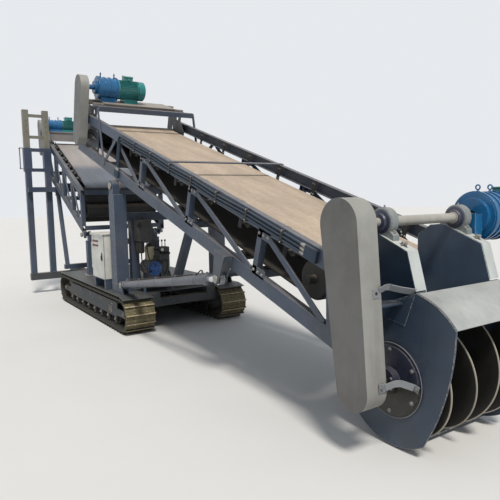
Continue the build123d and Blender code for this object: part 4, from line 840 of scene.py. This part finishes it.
# Power pack: motor fins and cowl, dial, pump, valve coils and levers, filters, caps and steel lines
PACK_AT = Vector((0, -0.39, 0.80))
pack, dial, pump, pack_dark = Shape(), Shape(), Shape(), Shape()
for i in range(30):
    turn = Matrix.Rotation(math.radians(12 * i), 4, "X")
    spot = PACK_AT - 0.26 * AHEAD + turn @ Vector((0, 0, 0.088))
    pack.block(spot, (0.20, 0.004, 0.018), turn, 0.0008)
cowl = ((0, 0.080), (0.004, 0.094), (0.045, 0.094), (0.046, 0.085))
pack.lathe(PACK_AT - 0.39 * AHEAD, AHEAD, cowl, 36)
pack.block((-0.25, -0.39, 0.902), (0.09, 0.10, 0.045), soft=0.004)
dial.lathe((-0.1265, -0.262, 1.030), AHEAD, ((0, 0.022), (0.001, 0.022)), 28)
dial.done("pack_dial", "motor grey", "chassis", materials["cabinet"])
pack.done("pack_motor_fittings", "motor grey", "chassis", looks["pale grey"])
pump_case = ((0, 0.094), (0.014, 0.094), (0.016, 0.070), (0.050, 0.064), (0.054, 0.040), (0.085, 0.036))
pump.lathe(PACK_AT - 0.092 * AHEAD, AHEAD, pump_case, 40)
for r in (0.024, 0.038, 0.052):
    pump.hoop(PACK_AT - (0.037 + 0.2 * max(0.0, r - 0.04)) * AHEAD, AHEAD, r, 0.004, 28)
pump.bolt_ring(PACK_AT - 0.078 * AHEAD, AHEAD, 0.082, 6, 0.008)
pump.done("pack_pump", "motor grey", "chassis", looks["gearbox blue"])
coil = ((0, 0.016), (0.05, 0.016), (0.052, 0.010), (0.058, 0.010))
lever = ((0, 0.006), (0.07, 0.005), (0.072, 0.012), (0.09, 0.012), (0.094, 0.006))
for k in range(3):
    y = -0.26 + 0.045 * k
    pack_dark.lathe((-0.165, y, 0.98), AHEAD, coil, 16)
    pack_dark.lathe((-0.24, y, 1.06), UP, lever, 12)
can = ((0, 0.030), (0.02, 0.030), (0.022, 0.042), (0.14, 0.042), (0.16, 0.03))
for x in (-0.215, -0.315):
    pack_dark.lathe((x, -0.515, 1.155), -UP, can, 28)
pack_dark.block((-0.265, -0.515, 1.118), (0.05, 0.03, 0.026), soft=0.003)
gauge = ((0, 0.012), (0.012, 0.012), (0.013, 0.028), (0.034, 0.028), (0.036, 0.026))
filler = ((0, 0.050), (0.006, 0.054), (0.02, 0.054), (0.024, 0.03), (0.04, 0.028))
glass = ((0, 0.001), (0, 0.034), (0.012, 0.034), (0.012, 0.030))
breather = ((0, 0.038), (0.012, 0.038), (0.014, 0.030), (0.034, 0.030), (0.036, 0.02))
pack_dark.lathe((-0.162, -0.262, 1.030), AHEAD, gauge, 28)
pack_dark.lathe((-0.24, -0.39, 1.075), UP, filler, 24)
pack_dark.lathe((-0.15, -0.56, 1.36), AHEAD, glass, 24)
pack_dark.lathe((-0.30, -0.475, 1.425), UP, breather, 24)
pack_dark.done("pack_fittings", "motor grey", "chassis", looks["black"])
pack_routes = (
    ((-0.14, -0.39, 0.86), (-0.10, -0.39, 0.98), (-0.13, -0.32, 1.02), (-0.165, -0.27, 1.0)),
    ((-0.165, -0.20, 0.88), (-0.10, -0.20, 0.90), (-0.08, -0.22, 0.78), (-0.16, -0.22, 0.70)),
    ((-0.20, -0.40, 1.16), (-0.20, -0.36, 1.05), (-0.20, -0.30, 1.02), (-0.22, -0.26, 1.03)),
    ((-0.16, -0.46, 1.16), (-0.12, -0.47, 1.05), (-0.12, -0.46, 0.94), (-0.14, -0.42, 0.86)),
    (
        (-0.165, -0.16, 0.74), (-0.11, -0.15, 0.66), (-0.16, -0.14, 0.55), (-0.20, -0.30, 0.52),
        (-0.30, -0.62, 0.52),
    ),
    (
        (-0.06, -0.46, 0.76), (-0.02, -0.50, 0.78), (-0.01, -0.49, 0.90), (-0.01, -0.39, 0.94),
        (-0.05, -0.30, 0.90), (-0.166, -0.26, 0.86),
    ),
    (
        (-0.215, -0.515, 1.0), (-0.215, -0.515, 0.88), (-0.16, -0.52, 0.80), (-0.08, -0.50, 0.76),
        (-0.06, -0.46, 0.78),
    ),
    ((-0.315, -0.515, 1.0), (-0.315, -0.515, 0.72), (-0.30, -0.50, 0.62), (-0.26, -0.46, 0.62)),
)
pipes("pack_steel_lines", Matrix(), pack_routes, 0.008, "motor grey", "chassis", looks["black"])

# Posts: base bolts on the sill, and weld beads where the ears and stand meet
post_bolts, welds = Shape(), Shape()
for s in BOTH:
    for dx in (-0.075, 0.075):
        for y in (0.60, 0.40):
            post_bolts.bolt((PIVOT.x + dx, s * y, 0.60), UP, 0.013)
    welds.block((PIVOT.x, s * 0.732, 0.602), (0.208, 0.172, 0.010), soft=0.004)
    welds.block((PIVOT.x, s * 0.732, 1.755), (0.190, 0.155, 0.008), soft=0.003)
post_bolts.done("post_base_bolts", "structure", "chassis", looks["zinc"])
welds.done("post_welds", "structure", "chassis")

# Mast: a black disc in each pin hole as painted shade, caps and base bolts; the loop bracket on the
# carriage's outer sleeve
hole_shade, mast_bits, loop_bars = Shape(), Shape(), Shape()
mast_low, mast_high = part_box("rear_mast")
mast_x = (mast_low.x + mast_high.x) / 2
for y in (mast_low.y + 0.05, mast_high.y - 0.05):
    for k in range(3):
        for sign in BOTH:
            spot = (mast_x + sign * 0.0502, y, 2.95 + 0.095 * k)
            # Black disc: painted shade in a pin hole
            hole_shade.lathe(spot, sign * AHEAD, ((0, 0.009), (0.0006, 0.009)), 20)
    mast_bits.block((mast_x, y, mast_high.z + 0.002), (0.104, 0.104, 0.008), soft=0.002)
    for dx in BOTH:
        mast_bits.bolt((mast_x + dx * 0.062, y, mast_low.z + 0.008), UP, 0.010)
hole_shade.done("mast_pin_hole_shade", "structure", "chassis", looks["black"])
mast_bits.done("mast_caps", "structure", "chassis", looks["olive"])
for z in (2.29, 2.66):
    loop_bars.block((mast_x, -1.214, z), (0.050, 0.060, 0.010), soft=0.002)
loop_bars.block((mast_x, -1.240, 2.475), (0.050, 0.010, 0.380), soft=0.002)
for z in (2.30, 2.65):
    loop_bars.bolt((mast_x, -1.245, z), -ACROSS, 0.009)
loop_bars.done("carriage_loop", "carriage blue", "carriage")

# Props: the plates on which the carriage's beam rests at its lowest place
seats = Shape()
prop_low, prop_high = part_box("rear_props")
for s in BOTH:
    y = s * 0.640
    seats.block((prop_low.x + 0.032, y, prop_high.z + 0.003), (0.13, 0.11, 0.008), soft=0.001)
    for dy in (-0.036, 0.036):
        seats.block((prop_low.x + 0.020, y + dy, prop_high.z - 0.03), (0.05, 0.006, 0.06), soft=0.001)
seats.done("prop_seats", "structure", "chassis")

# Rear conveyor: drum bearings, guide rollers and rubber skirts at the belt's edges
rear_bits, rear_bolts, rollers, skirts = Shape(CONV), Shape(CONV), Shape(CONV), Shape(CONV)
tail_u, head_u, drum_w = -0.410, -2.412, 0.512
drum_bearing = ((0, 0.070), (0.010, 0.068), (0.014, 0.05), (0.030, 0.046), (0.032, 0.034))
roller = ((0, 0.024), (0.004, 0.030), (0.026, 0.030), (0.030, 0.024))
for s in BOTH:
    for u in (tail_u, head_u):
        rear_bits.lathe((u, s * 0.641, drum_w), s * ACROSS, drum_bearing)
        rear_bolts.bolt_ring((u, s * 0.650, drum_w), s * ACROSS, 0.058, 4, 0.007)
    skirts.block((-1.44, s * 0.596, 0.695), (1.72, 0.008, 0.065), soft=0.002)
    for k in range(6):
        u = -0.70 - 0.30 * k
        rear_bits.block((u, s * 0.620, 0.684), (0.05, 0.045, 0.006), soft=0.001)
        rear_bits.block((u, s * 0.602, 0.705), (0.05, 0.005, 0.045), soft=0.001)
        rear_bolts.bolt((u, s * 0.630, 0.687), UP, 0.007)
        rollers.lathe((u - 0.15, s * 0.606, 0.690), s * ACROSS, roller, 20)

# Under the rear conveyor's tail: a snub drum between two hanger plates, and a black sheet behind it as
# painted shade
snub_u, snub_w = -0.263, 0.296
snub = Shape(CONV)
snub_half = ((0, 0.028), (0.059, 0.028), (0.06, 0.106), (0.064, 0.11))
snub_mirror = [(1.24 - d, r) for d, r in snub_half[::-1]]
snub.lathe((snub_u, -0.62, snub_w), ACROSS, [*snub_half, *snub_mirror], 48)
snub.done("discharge_snub_drum", "lagged drums", "discharge_conveyor")
hanger = (
    (-0.47, 0.45), (-0.35, 0.45), (-0.20, 0.32), (-0.21, 0.25), (-0.27, 0.23), (-0.33, 0.26), (-0.47, 0.40),
)
snub_bearing = ((0, 0.050), (0.010, 0.048), (0.014, 0.034), (0.022, 0.03))
for s in BOTH:
    rear_bits.sheet(hanger, s * 0.617, s * 0.627)
    rear_bits.lathe((snub_u, s * 0.628, snub_w), s * ACROSS, snub_bearing, 28)
# Black sheet across the conveyor: painted shade under the belt behind the drum
shade_sheet = Shape()
shade_sheet.block((-2.56, 0, 1.51), (0.008, 1.225, 0.34), soft=0.001)
shade_sheet.done("discharge_tail_shade_sheet", "rear belt", "discharge_conveyor", looks["black"])
rear_bits.done("discharge_bearings", "structure", "discharge_conveyor")
rear_bolts.done("discharge_bolts", "structure", "discharge_conveyor", looks["zinc"])
rollers.done("discharge_guide_rollers", "lagged drums", "discharge_conveyor")
skirts.done("discharge_skirts", "rear belt", "discharge_conveyor", looks["black"])
stand_bits = Shape()
for s in BOTH:
    for dx in (-0.035, 0.035):
        stand_bits.bolt((CONV_PIVOT.x + dx, s * 0.545, 1.052), UP, 0.009)
    stand_bits.block((CONV_PIVOT.x, s * 0.57, 0.492), (0.18, 0.18, 0.010), soft=0.003)
    for dx in BOTH:
        for dy in BOTH:
            stand_bits.bolt((CONV_PIVOT.x + dx * 0.072, s * 0.57 + dy * 0.072, 0.497), UP, 0.010)
    pin = (CONV_PIVOT.x, s * 0.700, CONV_PIVOT.z)
    stand_bits.lathe(pin, s * ACROSS, ((-0.02, 0.034), (0.004, 0.034), (0.006, 0.031)), 24)
stand_bits.done("rear_stand_bolts", "structure", "chassis", looks["zinc"])


# Stage: floor, light and the camera at the photograph's viewing angle


def make_stage():
    reach = 60.0
    mesh = bpy.data.meshes.new("floor")
    corners = [(-reach, -reach, 0), (reach, -reach, 0), (reach, reach, 0), (-reach, reach, 0)]
    mesh.from_pydata(corners, [], [(0, 1, 2, 3)])
    floor = bpy.data.objects.new("floor", mesh)
    scene.collection.objects.link(floor)
    p = Paint("floor")
    grey = p.blend((0.60, 0.59, 0.57), (0.66, 0.65, 0.63), p.noise(0.6))
    p.finish(grey, p.ramp(p.noise(3.0), 0, 1, 0.8, 0.95))
    mesh.materials.append(p.mat)

    world = bpy.data.worlds.new("world")
    scene.world = world
    world.use_nodes = True
    tree = world.node_tree
    sky = tree.nodes["Background"]
    sky.inputs[0].default_value = (0.78, 0.84, 0.92, 1)
    sky.inputs[1].default_value = 0.6
    backdrop = tree.nodes.new("ShaderNodeBackground")
    backdrop.inputs[0].default_value = (0.80, 0.82, 0.85, 1)
    rays = tree.nodes.new("ShaderNodeLightPath")
    seen = rays.outputs["Is Camera Ray"]
    for kind in ("Is Glossy Ray", "Is Transmission Ray"):
        either = tree.nodes.new("ShaderNodeMath")
        either.operation = "MAXIMUM"
        tree.links.new(seen, either.inputs[0])
        tree.links.new(rays.outputs[kind], either.inputs[1])
        seen = either.outputs[0]
    choice = tree.nodes.new("ShaderNodeMixShader")
    tree.links.new(seen, choice.inputs[0])
    tree.links.new(sky.outputs[0], choice.inputs[1])
    tree.links.new(backdrop.outputs[0], choice.inputs[2])
    tree.links.new(choice.outputs[0], tree.nodes["World Output"].inputs["Surface"])
    sun = bpy.data.objects.new("sun", bpy.data.lights.new("sun", "SUN"))
    sun.data.energy = 3.0
    sun.data.angle = math.radians(12)
    sun.data.color = (1.0, 0.96, 0.9)
    sun.rotation_euler = (math.radians(28), math.radians(18), math.radians(40))
    scene.collection.objects.link(sun)


def make_camera():
    """Camera where the photograph was taken; yaw is from straight back, and pitch is downwards."""
    eye, lens = Vector((6.209, -3.062, 1.669)), 37.71
    yaw, pitch, roll = math.radians(33.389), math.radians(5.582), math.radians(-1.174)
    ahead = Vector((-math.cos(yaw) * math.cos(pitch), math.sin(yaw) * math.cos(pitch), -math.sin(pitch)))
    flat = Vector((math.sin(yaw), math.cos(yaw), 0))
    above = flat.cross(ahead)
    right = math.cos(roll) * flat + math.sin(roll) * above
    up = math.cos(roll) * above - math.sin(roll) * flat
    cam = bpy.data.objects.new("camera", bpy.data.cameras.new("camera"))
    scene.collection.objects.link(cam)
    turn = Matrix((right, up, -ahead)).transposed().to_4x4()
    cam.matrix_world = Matrix.Translation(eye) @ turn
    cam.data.lens = lens
    cam.data.sensor_width = 36
    cam.data.clip_end = 200
    scene.camera = cam


make_stage()
make_camera()
